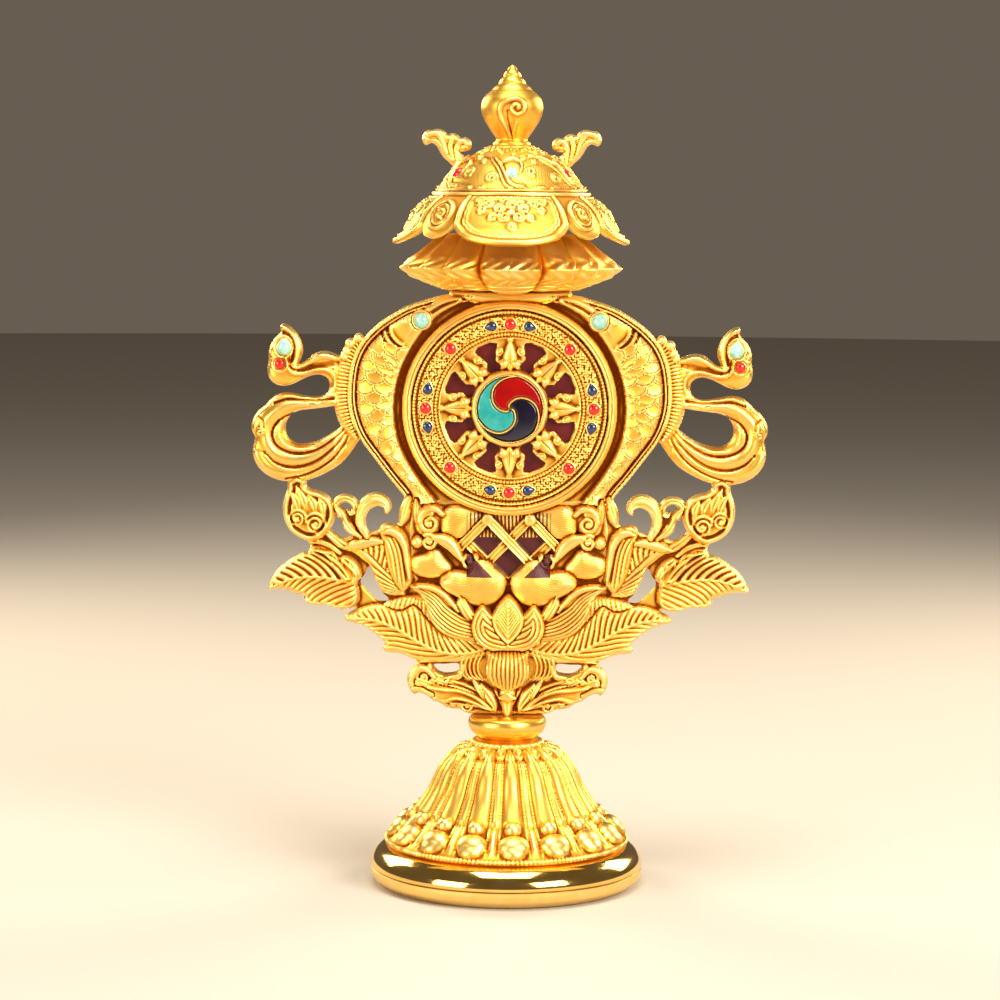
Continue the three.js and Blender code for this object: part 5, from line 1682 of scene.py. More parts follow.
@dataclass
class Foot:
    """The bell foot: gadroons, beaded grooves, hanging bulbs, a beaded rim and an upper ruffle."""

    lobes: int = 16
    turn: float = 4.0
    columns: int = 576
    rows: int = 118
    profile: Line = (
        (30.0, 10.2), (30.3, 10.8), (29.6, 11.8), (27.6, 13.0), (25.9, 14.6), (24.0, 16.4), (22.4, 18.2), (20.8, 20.4),
        (19.2, 22.8), (18.0, 25.0), (17.0, 27.2), (15.9, 29.4), (14.2, 31.6), (12.0, 33.2), (10.2, 34.0),
        (9.0, 35.0), (8.2, 36.2), (6.8, 37.0),
    )

    def build(self) -> bpy.types.Object:
        """Works the relief round the bell and makes the mesh."""
        rows = smooth_line(self.profile, 0.1)
        pick = np.linspace(0, len(rows) - 1, self.rows).astype(int)
        rows = rows[pick]
        slope = np.gradient(rows, axis=0)
        slope /= np.maximum(np.hypot(slope[:, 0], slope[:, 1]), 1e-9)[:, None]
        out_r, out_z = slope[:, 1:2], -slope[:, 0:1]
        angle = np.linspace(0.0, TAU, self.columns, endpoint=False)[None, :]
        r, z = rows[:, 0:1], rows[:, 1:2]
        relief = self.relief(r, z, angle)
        # The cavity below gives painted shade in the grooves and a painted highlight on the raised carving.
        low = blurred(relief, 3, wrap=True)
        cavity = unit((low - relief) * 1.3 + 0.5)
        return turned_mesh("bell_foot", r + out_r * relief, z + out_z * relief, {"cavity": cavity})

    def relief(self, r: Array, z: Array, angle: Array) -> Array:
        """Height of the carving over the plain bell.

        Args:
            r: radius of each row.
            z: height of each row.
            angle: angle of each column.

        Returns:
            The relief in mm.
        """
        pitch = TAU * r / self.lobes
        share = ((angle - math.radians(self.turn)) / TAU * self.lobes + 0.5) % 1.0 - 0.5
        a = share * pitch
        mid = np.abs(a)
        shaft = unit((z - 17.0) / 2.0) * unit((33.2 - z) / 1.2)
        gadroon = 1.25 * quarter_round(1.0 - mid / (0.30 * pitch))
        twist = cord(z / 0.72 + mid * 0.7 / pitch)
        bead_at = 0.355 * pitch
        corded = (0.25 + 0.5 * twist) * mound(mid - bead_at, 0.48)
        between = 0.5 * pitch - mid
        rib = 0.85 * quarter_round(1.0 - between / (0.12 * pitch)) - 0.3 * mound(between, 0.16)
        relief = np.maximum(np.maximum(gadroon, corded), rib) * shaft
        low_shaft = unit((z - 11.8) / 1.5) * unit((18.5 - z) / 1.5)
        relief = np.maximum(relief, (0.4 + 0.5 * twist) * mound(mid - bead_at, 0.5) * low_shaft)
        relief = np.maximum(relief, 0.9 * quarter_round(1.0 - between / (0.1 * pitch)) * low_shaft)
        bulb = np.sqrt((a / 3.95) ** 2 + ((z - 13.9) / 2.35) ** 2)
        relief = np.maximum(relief, 2.5 * quarter_round(1.0 - bulb))
        knob = np.sqrt((a / 2.15) ** 2 + ((z - 17.5) / 1.75) ** 2)
        relief = np.maximum(relief, 2.1 * quarter_round(1.0 - knob))
        rim_bead = np.sqrt((((angle / TAU * 176) % 1.0 - 0.5) * 1.08 / 0.5) ** 2 + ((z - 11.1) / 0.5) ** 2)
        relief = np.maximum(relief, 0.7 * quarter_round(1.0 - rim_bead))
        return self.ruffle(relief, z, angle)

    def ruffle(self, relief: Array, z: Array, angle: Array) -> Array:
        """Adds the hanging drops and small scrolls at the top of the bell."""
        count = 16
        share = (angle / TAU * count + 0.35) % 1.0 - 0.5
        arc = share * TAU * 11.5 / count
        drop = np.sqrt((arc / 1.15) ** 2 + ((z - 32.9) / 1.9) ** 2)
        relief = np.maximum(relief, 1.6 * quarter_round(1.0 - drop))
        other = ((share + 1.0) % 1.0 - 0.5) * TAU * 10.6 / count
        scroll = np.sqrt((other / 1.35) ** 2 + ((z - 34.0) / 1.25) ** 2)
        relief = np.maximum(relief, 1.5 * quarter_round(1.0 - scroll) - 0.6 * mound(scroll - 0.55, 0.2))
        band = 0.8 * mound(z - 35.6, 0.9) * (0.55 + 0.45 * cord(angle / TAU * 32))
        return np.maximum(relief, band)


@dataclass
class Canopy:
    """The parasol: a dome with scrolls, a double band and a skirt of eight scallops with filigree."""

    columns: int = 480
    dome_profile: Line = (
        (4.7, 184.5), (6.0, 184.0), (8.0, 183.1), (11.0, 181.6), (14.0, 179.5), (16.2, 176.8), (18.0, 174.4),
        (19.5, 172.4),
    )
    skirt_profile: Line = (
        (19.7, 172.2), (22.0, 170.6), (24.0, 168.5), (25.4, 166.0), (26.5, 163.8), (28.1, 162.2), (29.4, 160.6),
    )
    wide_low: float = 160.5
    narrow_low: float = 162.4
    notch: float = 166.4

    def build(self) -> bpy.types.Object:
        """Joins dome, skirt and underside into one closed mesh."""
        angle = np.linspace(0.0, TAU, self.columns, endpoint=False)
        dome = smooth_line(self.dome_profile, 0.1)
        dome = dome[np.linspace(0, len(dome) - 1, 60).astype(int)]
        r_dome = np.repeat(dome[:, 0:1], self.columns, axis=1)
        z_dome = np.repeat(dome[:, 1:2], self.columns, axis=1)
        carved = self.dome_relief(dome, angle)
        nr, nz = self.normals(dome)
        r_dome, z_dome = r_dome + nr * carved, z_dome + nz * carved
        skirt = smooth_line(self.skirt_profile, 0.1)
        down = skirt[:, 1].max() - skirt[:, 1]
        gone = np.r_[0.0, np.cumsum(np.hypot(*np.diff(skirt, axis=0).T))]
        edge = self.edge_height(angle)
        length = np.interp(skirt[:, 1].max() - edge, down, gone)
        share = np.linspace(0.0, 1.0, 70)[:, None]
        path = share * length[None, :]
        r_skirt, z_skirt = np.interp(path, gone, skirt[:, 0]), np.interp(path, gone, skirt[:, 1])
        relief = self.skirt_relief(path, length, angle)
        slopes = np.gradient(skirt, axis=0)
        slopes /= np.hypot(slopes[:, 0], slopes[:, 1])[:, None]
        out_r = np.interp(path, gone, -slopes[:, 1])
        out_z = np.interp(path, gone, slopes[:, 0])
        under_r, under_z = r_skirt - 1.1 * out_r, z_skirt - 1.1 * out_z
        r_skirt, z_skirt = r_skirt + out_r * relief, z_skirt + out_z * relief
        picks = np.linspace(69, 0, 24).astype(int)
        under_r, under_z = under_r[picks], under_z[picks]
        lip_r, lip_z = r_skirt[-1:], z_skirt[-1:]
        under_r[0], under_z[0] = lip_r[0] - 0.9, lip_z[0] - 0.1
        radius = np.vstack([r_dome, r_skirt, under_r])
        height = np.vstack([z_dome, z_skirt, under_z])
        both = np.vstack([carved, relief])
        # The cavity gives painted shade in the carved recesses and a painted highlight on the raised work.
        cavity = unit((blurred(both, 2, wrap=True) - both) * 2.2 + 0.5)
        # The underside gets a fixed 0.25, which gives it the paler tone that the gilt uses as its painted highlight.
        inner = np.full(under_r.shape, 0.25)
        values = {"cavity": np.vstack([cavity, inner])}
        return turned_mesh("parasol", radius[::-1], height[::-1], {k: v[::-1] for k, v in values.items()})

    def normals(self, rows: Array) -> tuple[Array, Array]:
        """Outward directions (radius, height) along a profile that runs downwards and outwards."""
        slopes = np.gradient(rows, axis=0)
        slopes /= np.hypot(slopes[:, 0], slopes[:, 1])[:, None]
        return -slopes[:, 1:2], slopes[:, 0:1]

    def edge_height(self, angle: Array) -> Array:
        """Height of the skirt's scalloped edge at each angle."""
        quarter = (np.degrees(angle) + 45.0) % 90.0 - 45.0
        a = np.abs(quarter)
        wide = self.wide_low + (self.notch - self.wide_low) * (1.0 - np.sqrt(unit(1.0 - (a / 33.5) ** 2)))
        narrow = self.narrow_low + (self.notch - self.narrow_low) * (1.0 - np.sqrt(unit(1.0 - ((45 - a) / 11.5) ** 2)))
        return np.where(a < 33.5, wide, narrow)

    def dome_relief(self, rows: Array, angle: Array) -> Array:
        """Scroll relief over the dome, drawn once for a sixth and repeated.

        Args:
            rows: profile points of the dome.
            angle: the angles of the columns.

        Returns:
            The relief on the grid of rows and columns.
        """
        gone = np.r_[0.0, np.cumsum(np.hypot(*np.diff(rows, axis=0).T))]
        total = gone[-1]
        sixth = TAU / 6
        width = sixth * 15.0
        art = Sheet((-width, 0.0), (2 * width, total), 0.16)
        art.front[:] = 0.0
        for k in (-1, 0, 1):
            self.dome_art(art, k * width + width / 2, total, width)
        x = ((angle + sixth / 2) % sixth) * 15.0
        col = np.clip((x + width) / art.step, 0, art.x.shape[1] - 1.01)
        row = np.clip(gone / art.step, 0, art.x.shape[0] - 1.01)
        grid = sampled(art.front, row, col)
        ground = 0.12 * np.sin(x[None, :] * 9.0) * np.sin(gone[:, None] * 8.0)
        grid = np.where(grid < 0.1, grid + ground, grid)
        bands = 0.75 * mound(total - gone - 0.55, 0.5) + 0.45 * mound(total - gone - 1.7, 0.35)
        top = 0.5 * mound(gone - 0.8, 0.7)
        return grid * unit((total - gone - 1.9) / 0.5)[:, None] + (bands + top)[:, None]

    def dome_art(self, art: Sheet, middle: float, total: float, width: float) -> None:
        """Draws the scrolls of one sixth of the dome.

        Args:
            art: the unrolled sheet, with the path down the dome as its z.
            middle: where the stone sits along x.
            total: length of the path.
            width: width of a sixth.
        """
        def at(x: float, down: float) -> Point:
            return (middle + x * width, down * total)

        s_line = [at(-0.62, 0.32), at(-0.35, 0.36), at(-0.16, 0.55), at(-0.02, 0.8), at(0.2, 0.9), at(0.42, 0.88)]
        art.line(s_line, 0.6, 0.75)
        art.line([(x - 0.9, z + 0.7) for x, z in s_line[1:5]], 0.35, 0.45)
        stone = at(0.0, 0.55)
        for start, sense in ((200.0, 1.0), (340.0, -1.0)):
            art.line(spiral((stone[0], stone[1]), 3.1, 0.55, start, sense, 0.8), 0.4, 0.5)
        eyes = ((-0.3, 0.72, 1.5), (0.3, 0.62, 1.5), (0.22, 0.34, 1.2), (-0.28, 0.2, 1.1), (0.05, 0.22, 1.0),
                (-0.42, 0.9, 1.0), (0.12, 0.86, 0.9), (0.44, 0.42, 1.0))
        for i, (x, down, radius) in enumerate(eyes):
            art.line(spiral(at(x, down), radius, 1.6, 60.0 * i, 1.0 if i % 2 else -1.0), 0.3, 0.42)
        for i in range(9):
            x, z = at(-0.5 + 0.115 * i, 0.09 + 0.05 * (i % 2))
            art.line(spiral((x, z), 0.8, 1.2, 90.0 * i), 0.26, 0.4)

    def skirt_relief(self, path: Array, length: Array, angle: Array) -> Array:
        """Borders, bead row and filigree of the skirt.

        Args:
            path: distance down the skirt on the grid.
            length: length of the skirt at each angle.
            angle: the angles of the columns.

        Returns:
            The relief on the grid.
        """
        quarter = (angle + TAU / 8) % (TAU / 4) - TAU / 8
        scale = 24.5
        art = Sheet((-20.0, -0.5), (20.0, 17.0), 0.16)
        art.front[:] = 0.0
        fine = np.linspace(-TAU / 8, TAU / 8, 181)
        edge = np.interp(fine, np.sort(quarter), length[np.argsort(quarter)])
        outline = [(a * scale, e) for a, e in zip(fine, edge)]
        wide = [p for p in outline if abs(p[0]) < math.radians(33.5) * scale]
        wide = [(wide[0][0], -2.0)] + wide + [(wide[-1][0], -2.0)]
        inside = polygon_distance(art.x, art.z, wide)
        art.front += 0.55 * mound(inside - 0.95, 1.0) * (inside > 0)
        along = art.x + 0.35 * art.z * np.sign(art.x)
        art.front += 0.5 * mound(inside - 2.5, 0.42) * cord(along / 0.75)
        art.front += 0.3 * mound(inside - 3.2, 0.3)
        field = inside > 3.4
        base = art.front.copy()
        eyes = ((0.0, 3.4, 1.7), (-3.2, 4.6, 1.6), (3.2, 4.6, 1.6), (-6.0, 3.0, 1.5), (6.0, 3.0, 1.5), (-1.7, 7.0, 1.5),
                (1.7, 7.0, 1.5), (-4.6, 7.2, 1.2), (4.6, 7.2, 1.2), (0.0, 9.6, 1.2), (-8.4, 2.6, 1.3), (8.4, 2.6, 1.3),
                (-7.4, 5.2, 1.2), (7.4, 5.2, 1.2), (-2.6, 1.6, 1.1), (2.6, 1.6, 1.1), (-10.2, 1.6, 0.9),
                (10.2, 1.6, 0.9), (0.0, 5.6, 0.9))
        for i, (x, z, radius) in enumerate(eyes):
            art.line(spiral((x, z), radius, 1.7, 50.0 * i, 1.0 if x > 0 else -1.0), 0.3, 0.5)
        art.front = np.where(field, art.front + 0.1 * np.sin(art.x * 8.5) * np.sin(art.z * 9.5), base)
        for side in (-1, 1):
            centre = side * math.radians(45.0) * scale
            lobe = polygon_distance(
                art.x, art.z, [(centre - 5.2, -2.0), (centre - 5.0, 4.0), (centre - 3.2, 8.4), (centre, 10.2),
                               (centre + 3.2, 8.4), (centre + 5.0, 4.0), (centre + 5.2, -2.0)])
            ring = np.hypot((art.x - centre), (art.z - 6.2) * 0.85)
            art.front += (0.6 * mound(ring - 3.5, 0.6) + 0.35 * mound(ring - 2.5, 0.35)) * (lobe > -1.0)
            art.front += 0.45 * mound(ring - 1.0, 0.5)
            art.line([(centre - 1.4, 4.8), (centre + 0.4, 5.6), (centre - 0.4, 7.0), (centre + 1.2, 7.8)], 0.35, 0.5)
        row = (path + 0.5) / art.step
        col = np.broadcast_to((quarter * scale + 20.0) / art.step, path.shape)
        return sampled(art.front, np.clip(row, 0, art.x.shape[0] - 1.01), np.clip(col, 0, art.x.shape[1] - 1.01))

    def horns(self) -> list[bpy.types.Object]:
        """The two fluted cloud horns on the dome's shoulders."""
        sheet = Sheet((8.0, 176.0), (24.0, 190.0), 0.16)
        outline = [(11.2, 181.0), (12.0, 182.4), (12.9, 183.2), (11.4, 183.3), (10.2, 183.9), (9.9, 185.2),
                   (10.5, 186.3), (11.6, 186.8), (12.5, 186.5), (13.3, 187.3), (14.6, 187.8), (15.9, 187.4),
                   (16.7, 188.3), (18.2, 188.8), (19.6, 188.5), (21.0, 188.4), (22.0, 187.3), (22.2, 185.9),
                   (21.5, 184.8), (20.6, 184.9), (19.8, 185.3), (18.7, 184.6), (17.9, 183.2), (16.9, 181.8),
                   (15.6, 180.6), (14.0, 179.2), (11.6, 178.6)]
        spine = [(12.4, 178.0), (14.6, 182.6), (16.8, 186.0), (19.6, 187.0), (22.0, 186.0)]
        s = leaf(sheet, outline, spine, Chasing(base=0.9, crown=1.3), reach=1.6)
        sheet.front[s.box] += np.where(s.inside > 0, 0.5 * (cord(s.across / 1.3 + 0.5) - 0.6), 0.0)
        petal(sheet, [(13.4, 180.4, 0.7), (13.6, 184.0, 0.9), (12.4, 185.8, 0.9), (11.0, 185.0, 0.7)],
              Chasing(base=1.6, crown=0.9))
        petal(sheet, [(14.4, 181.0, 0.5), (15.2, 184.4, 0.8), (14.6, 186.8, 0.8)], Chasing(base=1.6, crown=0.8))
        petal(sheet, [(16.0, 182.6, 0.5), (17.0, 185.6, 0.8), (18.6, 187.6, 0.9), (20.6, 187.2, 0.9)],
              Chasing(base=1.6, crown=0.9))
        form = Rounding(radius=0.8, back=1.7, carving=0.6)
        return [cast("horn_right", sheet, form), cast("horn_left", sheet, form, side=-1)]


def sampled(grid: Array, row: Array, col: Array) -> Array:
    """Reads a grid between its points.

    Args:
        grid: the values.
        row: row positions, of one or two dimensions.
        col: column positions, of one or two dimensions.

    Returns:
        The values read, two-dimensional.
    """
    if row.ndim == 1:
        row, col = np.broadcast_arrays(row[:, None], col[None, :])
    i, j = row.astype(int), col.astype(int)
    u, v = row - i, col - j
    low = grid[i, j] * (1 - v) + grid[i, j + 1] * v
    high = grid[i + 1, j] * (1 - v) + grid[i + 1, j + 1] * v
    return low * (1 - u) + high * u


@dataclass
class Valance:
    """The gathered cloth under the parasol, with deep folds and hatched hems."""

    columns: int = 480
    rows: int = 90
    centres: tuple[float, ...] = (0.0, 38.0, 62.0, 90.0, 118.0, 142.0, 180.0, 218.0, 242.0, 270.0, 298.0, 322.0)
    halves: tuple[float, ...] = (24.0, 14.0, 13.0, 16.0, 13.0, 14.0, 24.0, 14.0, 13.0, 16.0, 13.0, 14.0)

    def build(self) -> bpy.types.Object:
        """Works the folds and makes the closed mesh."""
        degrees = np.linspace(0.0, 360.0, self.columns, endpoint=False)[None, :]
        bulge, local = self.folds(degrees)
        t = np.linspace(0.0, 1.0, self.rows)[:, None]
        outer_r = np.interp(t, [0, 0.12, 0.3, 0.48, 0.6, 0.75, 1.0], [14.0, 16.5, 20.5, 25.0, 27.6, 24.5, 17.5])
        inner_r = np.interp(t, [0, 0.15, 0.4, 0.6, 0.8, 1.0], [13.0, 14.0, 16.0, 16.5, 16.0, 15.0])
        side = np.cos(np.radians(degrees)) ** 2
        outer_r = outer_r * (1.0 - 0.16 * side * (degrees * 0 + 1))
        z = np.interp(t, [0, 0.12, 0.3, 0.48, 0.6, 0.8, 1.0], [148.8, 149.2, 150.6, 152.4, 154.6, 158.4, 163.0])
        drop = 1.6 * (1.0 - bulge) * unit(1.0 - t / 0.5)
        low_front = 0.4 * (np.abs((degrees + 180) % 360 - 180) < 24)
        radius = inner_r + (outer_r - inner_r) * bulge
        height = z + drop - low_front * unit(1 - t / 0.4)
        hem = t * 22.0
        relief = 0.5 * mound(hem - 3.0, 0.5) + 0.5 * mound(hem - 5.6, 0.5)
        relief = relief + 0.3 * cord(degrees / 1.9) * unit(1 - np.abs(hem - 4.3) / 1.1)
        swirl = 0.28 * np.sin(degrees * 0.62 + 2.4 * np.sin(hem * 1.1)) * unit((hem - 6.4) / 1.0) * unit((17 - hem) / 2)
        relief = (relief + swirl) * unit(bulge * 2.0)
        # Painted shade between the folds and in the hem's grooves, and a painted highlight on the fold crests: the
        # cavity is high where the cloth stands back.
        cavity = unit(0.85 - 0.75 * bulge ** 0.8 + 0.5 * (blurred(relief, 2, wrap=True) - relief) + 0.1)
        return turned_mesh("valance_cloth", radius + relief, height, {"cavity": cavity})

    def folds(self, degrees: Array) -> tuple[Array, Array]:
        """How far each angle stands out, and its place within its fold."""
        best, local = np.zeros(degrees.shape), np.zeros(degrees.shape)
        for centre, half in zip(self.centres, self.halves):
            u = ((degrees - centre + 180.0) % 360.0 - 180.0) / half
            out = np.sqrt(unit(1.0 - u**2)) ** 0.8
            high = 1.0 if half > 15 else 0.8
            local = np.where(out * high > best, u, local)
            best = np.maximum(best, out * high)
        return best, local


@dataclass
class Finial:
    """The conch finial: swelling body, winding ridges at the tip and a spiral on its front."""

    columns: int = 192
    rows: int = 130
    profile: Line = (
        (4.3, 184.2), (4.7, 184.8), (4.6, 185.5), (3.9, 186.2), (4.4, 187.2), (5.8, 189.2), (7.1, 191.5),
        (7.7, 194.0), (7.2, 196.2), (5.7, 197.8), (4.7, 198.6), (3.9, 199.4), (3.2, 200.3), (2.5, 201.3),
        (1.9, 202.3), (1.3, 203.3), (0.75, 204.1), (0.25, 204.6),
    )

    def build(self) -> bpy.types.Object:
        """Works the relief and makes the mesh."""
        rows = smooth_line(self.profile, 0.1)
        rows = rows[np.linspace(0, len(rows) - 1, self.rows).astype(int)]
        slopes = np.gradient(rows, axis=0)
        slopes /= np.maximum(np.hypot(slopes[:, 0], slopes[:, 1]), 1e-9)[:, None]
        angle = np.linspace(0.0, TAU, self.columns, endpoint=False)
        art = Sheet((-25.0, 184.0), (25.0, 205.0), 0.16)
        art.front[:] = 0.0
        stem = [(-0.6, 186.8), (-1.6, 189.0), (-2.7, 191.6), (-2.8, 193.6), (-1.9, 195.2), (-0.2, 195.9)]
        eye = spiral((1.0, 193.9), 2.3, 1.35, 118.0, -1.0, 0.2)
        art.line(stem + list(eye), 0.62, 0.8)
        art.line([(x * 0.6 + 0.5, z - 0.4) for x, z in stem[:4]], 0.35, -0.4)
        art.line([(0.2, 187.6), (0.8, 188.8), (1.2, 190.4)], 0.4, 0.4)
        wrapped = (angle + math.pi) % TAU - math.pi
        col = (wrapped * 7.0 + 25.0) / art.step
        row = np.clip((rows[:, 1] - 184.0) / art.step, 0, art.x.shape[0] - 1.01)
        relief = sampled(art.front, row, np.clip(col, 0, art.x.shape[1] - 1.01))
        winding = rows[:, 1:2] - 0.22 * np.cos(wrapped)[None, :]
        ridges = 0.34 * (cord((winding - 198.1) / 1.75) - 0.5) * unit((winding - 197.9) / 0.6) * unit((203.6 - winding) / 0.8)
        relief = relief + ridges
        # The cavity gives painted shade in the grooves and a painted highlight on the ridges and spiral.
        cavity = unit((blurred(relief, 2, wrap=True) - relief) * 1.6 + 0.5)
        r = np.maximum(rows[:, 0:1] + slopes[:, 1:2] * relief, 0.05)
        z = rows[:, 1:2] - slopes[:, 0:1] * relief
        return turned_mesh("conch_finial", r, z, {"cavity": cavity})


# Finishes


def linear(hexadecimal: str) -> tuple[float, float, float, float]:
    """Turns an sRGB hex colour into linear RGBA."""
    values = [int(hexadecimal[i : i + 2], 16) / 255.0 for i in (1, 3, 5)]
    red, green, blue = (v / 12.92 if v <= 0.04045 else ((v + 0.055) / 1.055) ** 2.4 for v in values)
    return (red, green, blue, 1.0)


def add_node(tree: bpy.types.NodeTree, kind: str, settings: dict | None = None, links: dict | None = None) -> bpy.types.Node:
    """Adds a node to a tree, sets its properties or sockets and links its inputs.

    Args:
        tree: the node tree.
        kind: the node's type.
        settings: values by property name, or by input socket name or number.
        links: output sockets by input socket name or number.

    Returns:
        The node.
    """
    node = tree.nodes.new(kind)
    for key, value in (settings or {}).items():
        if isinstance(key, str) and hasattr(node, key):
            setattr(node, key, value)
        else:
            node.inputs[key].default_value = value
    for key, socket in (links or {}).items():
        tree.links.new(socket, node.inputs[key])
    return node


def new_material(name: str) -> tuple[bpy.types.Material, bpy.types.NodeTree]:
    """A fresh node material with nothing in it."""
    material = bpy.data.materials.new(name)
    material.use_nodes = True
    material.node_tree.nodes.clear()
    return material, material.node_tree


def ramp(tree: bpy.types.NodeTree, stops: Sequence[tuple[float, tuple]], factor: bpy.types.NodeSocket) -> bpy.types.Node:
    """A colour ramp with the given stops."""
    node = add_node(tree, "ShaderNodeValToRGB", links={0: factor})
    elements = node.color_ramp.elements
    while len(elements) < len(stops):
        elements.new(0.5)
    for element, (place, colour) in zip(elements, stops):
        element.position = place
        element.color = colour
    return node


@dataclass(frozen=True)
class CastGilt:
    """Gold plating over a chased and sand-blasted brass casting.

    The raised work is painted a little brighter, as a painted highlight; the hollows are painted warmer and browner, as
    painted shade, and are rougher.
    """

    name: str = "sand_blasted_gilt"
    # The raised colour is a painted highlight; the hollow and deep colours are painted shade in the recesses.
    raised_highlight: str = "#FFE291"
    plain: str = "#F8CC5C"
    hollow_shade: str = "#D2912C"
    deep: str = "#7E420E"
    lacquer: str = "#4A0509"
    roughness: float = 0.42
    hollow_roughness: float = 0.52
    grain_mm: float = 0.28
    grain_depth_mm: float = 0.02
    unevenness_mm: float = 3.0

    def build(self) -> bpy.types.Material:
        """Makes the material."""
        material, tree = new_material(self.name)
        place = add_node(tree, "ShaderNodeTexCoord").outputs["Object"]
        cavity = add_node(tree, "ShaderNodeAttribute", {"attribute_name": "cavity"}).outputs["Fac"]
        paint = add_node(tree, "ShaderNodeAttribute", {"attribute_name": "paint"}).outputs["Fac"]
        # Painted light from the cavity attribute: the raised stop is a painted highlight, and the hollow and deep stops
        # are painted shade.
        stops = [
            (0.2, linear(self.raised_highlight)), (0.47, linear(self.plain)), (0.74, linear(self.hollow_shade)), (0.97, linear(self.deep)),
        ]
        tone = ramp(tree, stops, cavity).outputs["Color"]
        drift = add_node(
            tree, "ShaderNodeTexNoise", {"Scale": 1.0 / (self.unevenness_mm * MM), "Detail": 3.0}, {"Vector": place}
        ).outputs["Fac"]
        warm = add_node(
            tree, "ShaderNodeMix", {"data_type": "RGBA", "blend_type": "MULTIPLY", 7: linear("#F6E2BE")},
            {0: drift, 6: tone},
        ).outputs[2]
        base = add_node(
            tree, "ShaderNodeMix", {"data_type": "RGBA", 7: linear(self.lacquer)}, {0: paint, 6: warm}
        ).outputs[2]
        metal = add_node(tree, "ShaderNodeMath", {"operation": "SUBTRACT", 0: 1.0}, {1: paint}).outputs[0]
        rough = add_node(
            tree, "ShaderNodeMapRange",
            {"From Min": 0.4, "From Max": 0.9, "To Min": self.roughness, "To Max": self.hollow_roughness},
            {"Value": cavity},
        ).outputs["Result"]
        uneven = add_node(
            tree, "ShaderNodeMath", {"operation": "MULTIPLY_ADD", 1: 0.14}, {0: drift, 2: rough}
        ).outputs[0]
        lowered = add_node(tree, "ShaderNodeMath", {"operation": "SUBTRACT", 1: 0.07}, {0: uneven}).outputs[0]
        grain = add_node(
            tree, "ShaderNodeTexNoise", {"Scale": 1.0 / (self.grain_mm * MM), "Detail": 2.0}, {"Vector": place}
        ).outputs["Fac"]
        bump = add_node(
            tree, "ShaderNodeBump", {"Strength": 0.6, "Distance": self.grain_depth_mm * MM}, {"Height": grain}
        ).outputs["Normal"]
        shader = add_node(
            tree, "ShaderNodeBsdfPrincipled", {},
            {"Base Color": base, "Metallic": metal, "Roughness": lowered, "Normal": bump},
        )
        add_node(tree, "ShaderNodeOutputMaterial", links={"Surface": shader.outputs[0]})
        return material


@dataclass(frozen=True)
class PolishedGilt:
    """Gold plating over buffed brass: mirror-like, with faint polishing haze."""

    name: str = "buffed_gilt"
    colour: str = "#F4D07A"
    shade: str = "#ECC365"
    roughness: float = 0.07
    haze: float = 0.06
    haze_mm: float = 5.0
    wave_mm: float = 14.0
    wave_depth_mm: float = 0.02

    def build(self) -> bpy.types.Material:
        """Makes the material."""
        material, tree = new_material(self.name)
        place = add_node(tree, "ShaderNodeTexCoord").outputs["Object"]
        haze = add_node(
            tree, "ShaderNodeTexNoise", {"Scale": 1.0 / (self.haze_mm * MM), "Detail": 4.0}, {"Vector": place}
        ).outputs["Fac"]
        base = ramp(tree, [(0.3, linear(self.shade)), (0.7, linear(self.colour))], haze).outputs["Color"]
        rough = add_node(
            tree, "ShaderNodeMapRange", {"To Min": self.roughness, "To Max": self.roughness + self.haze}, {"Value": haze}
        ).outputs["Result"]
        wave = add_node(
            tree, "ShaderNodeTexNoise", {"Scale": 1.0 / (self.wave_mm * MM), "Detail": 1.0}, {"Vector": place}
        ).outputs["Fac"]
        bump = add_node(
            tree, "ShaderNodeBump", {"Strength": 0.4, "Distance": self.wave_depth_mm * MM}, {"Height": wave}
        ).outputs["Normal"]
        shader = add_node(
            tree, "ShaderNodeBsdfPrincipled", {"Metallic": 1.0}, {"Base Color": base, "Roughness": rough, "Normal": bump}
        )
        add_node(tree, "ShaderNodeOutputMaterial", links={"Surface": shader.outputs[0]})
        return material


@dataclass(frozen=True)
class GlossyFill:
    """A polished stone, fired enamel or lacquer: coloured and glossy, with soft clouding inside.

    The IOR is that of the real material, and a thin clear coat gives the fired or polished skin.
    """

    name: str
    colour: str
    cloud: str
    roughness: float
    ior: float
    cloud_mm: float
    coat: float = 0.3
    specks: float = 0.0
    speck_mm: float = 0.4

    def build(self) -> bpy.types.Material:
        """Makes the material."""
        material, tree = new_material(self.name)
        place = add_node(tree, "ShaderNodeTexCoord").outputs["Object"]
        cloud = add_node(
            tree, "ShaderNodeTexNoise", {"Scale": 1.0 / (self.cloud_mm * MM), "Detail": 4.0, "Roughness": 0.6},
            {"Vector": place},
        ).outputs["Fac"]
        base = ramp(tree, [(0.36, linear(self.colour)), (0.68, linear(self.cloud))], cloud).outputs["Color"]
        rough = add_node(
            tree, "ShaderNodeMapRange", {"To Min": self.roughness * 0.8, "To Max": self.roughness * 1.25}, {"Value": cloud}
        ).outputs["Result"]
        fine = add_node(
            tree, "ShaderNodeTexNoise", {"Scale": 1.0 / (self.speck_mm * MM), "Detail": 2.0}, {"Vector": place}
        ).outputs["Fac"]
        bump = add_node(
            tree, "ShaderNodeBump", {"Strength": 0.25, "Distance": 0.01 * MM}, {"Height": fine}
        ).outputs["Normal"]
        settings = {"IOR": self.ior, "Coat Weight": self.coat, "Coat Roughness": 0.04}
        shader = add_node(
            tree, "ShaderNodeBsdfPrincipled", settings, {"Base Color": base, "Roughness": rough, "Normal": bump}
        )
        add_node(tree, "ShaderNodeOutputMaterial", links={"Surface": shader.outputs[0]})
        return material


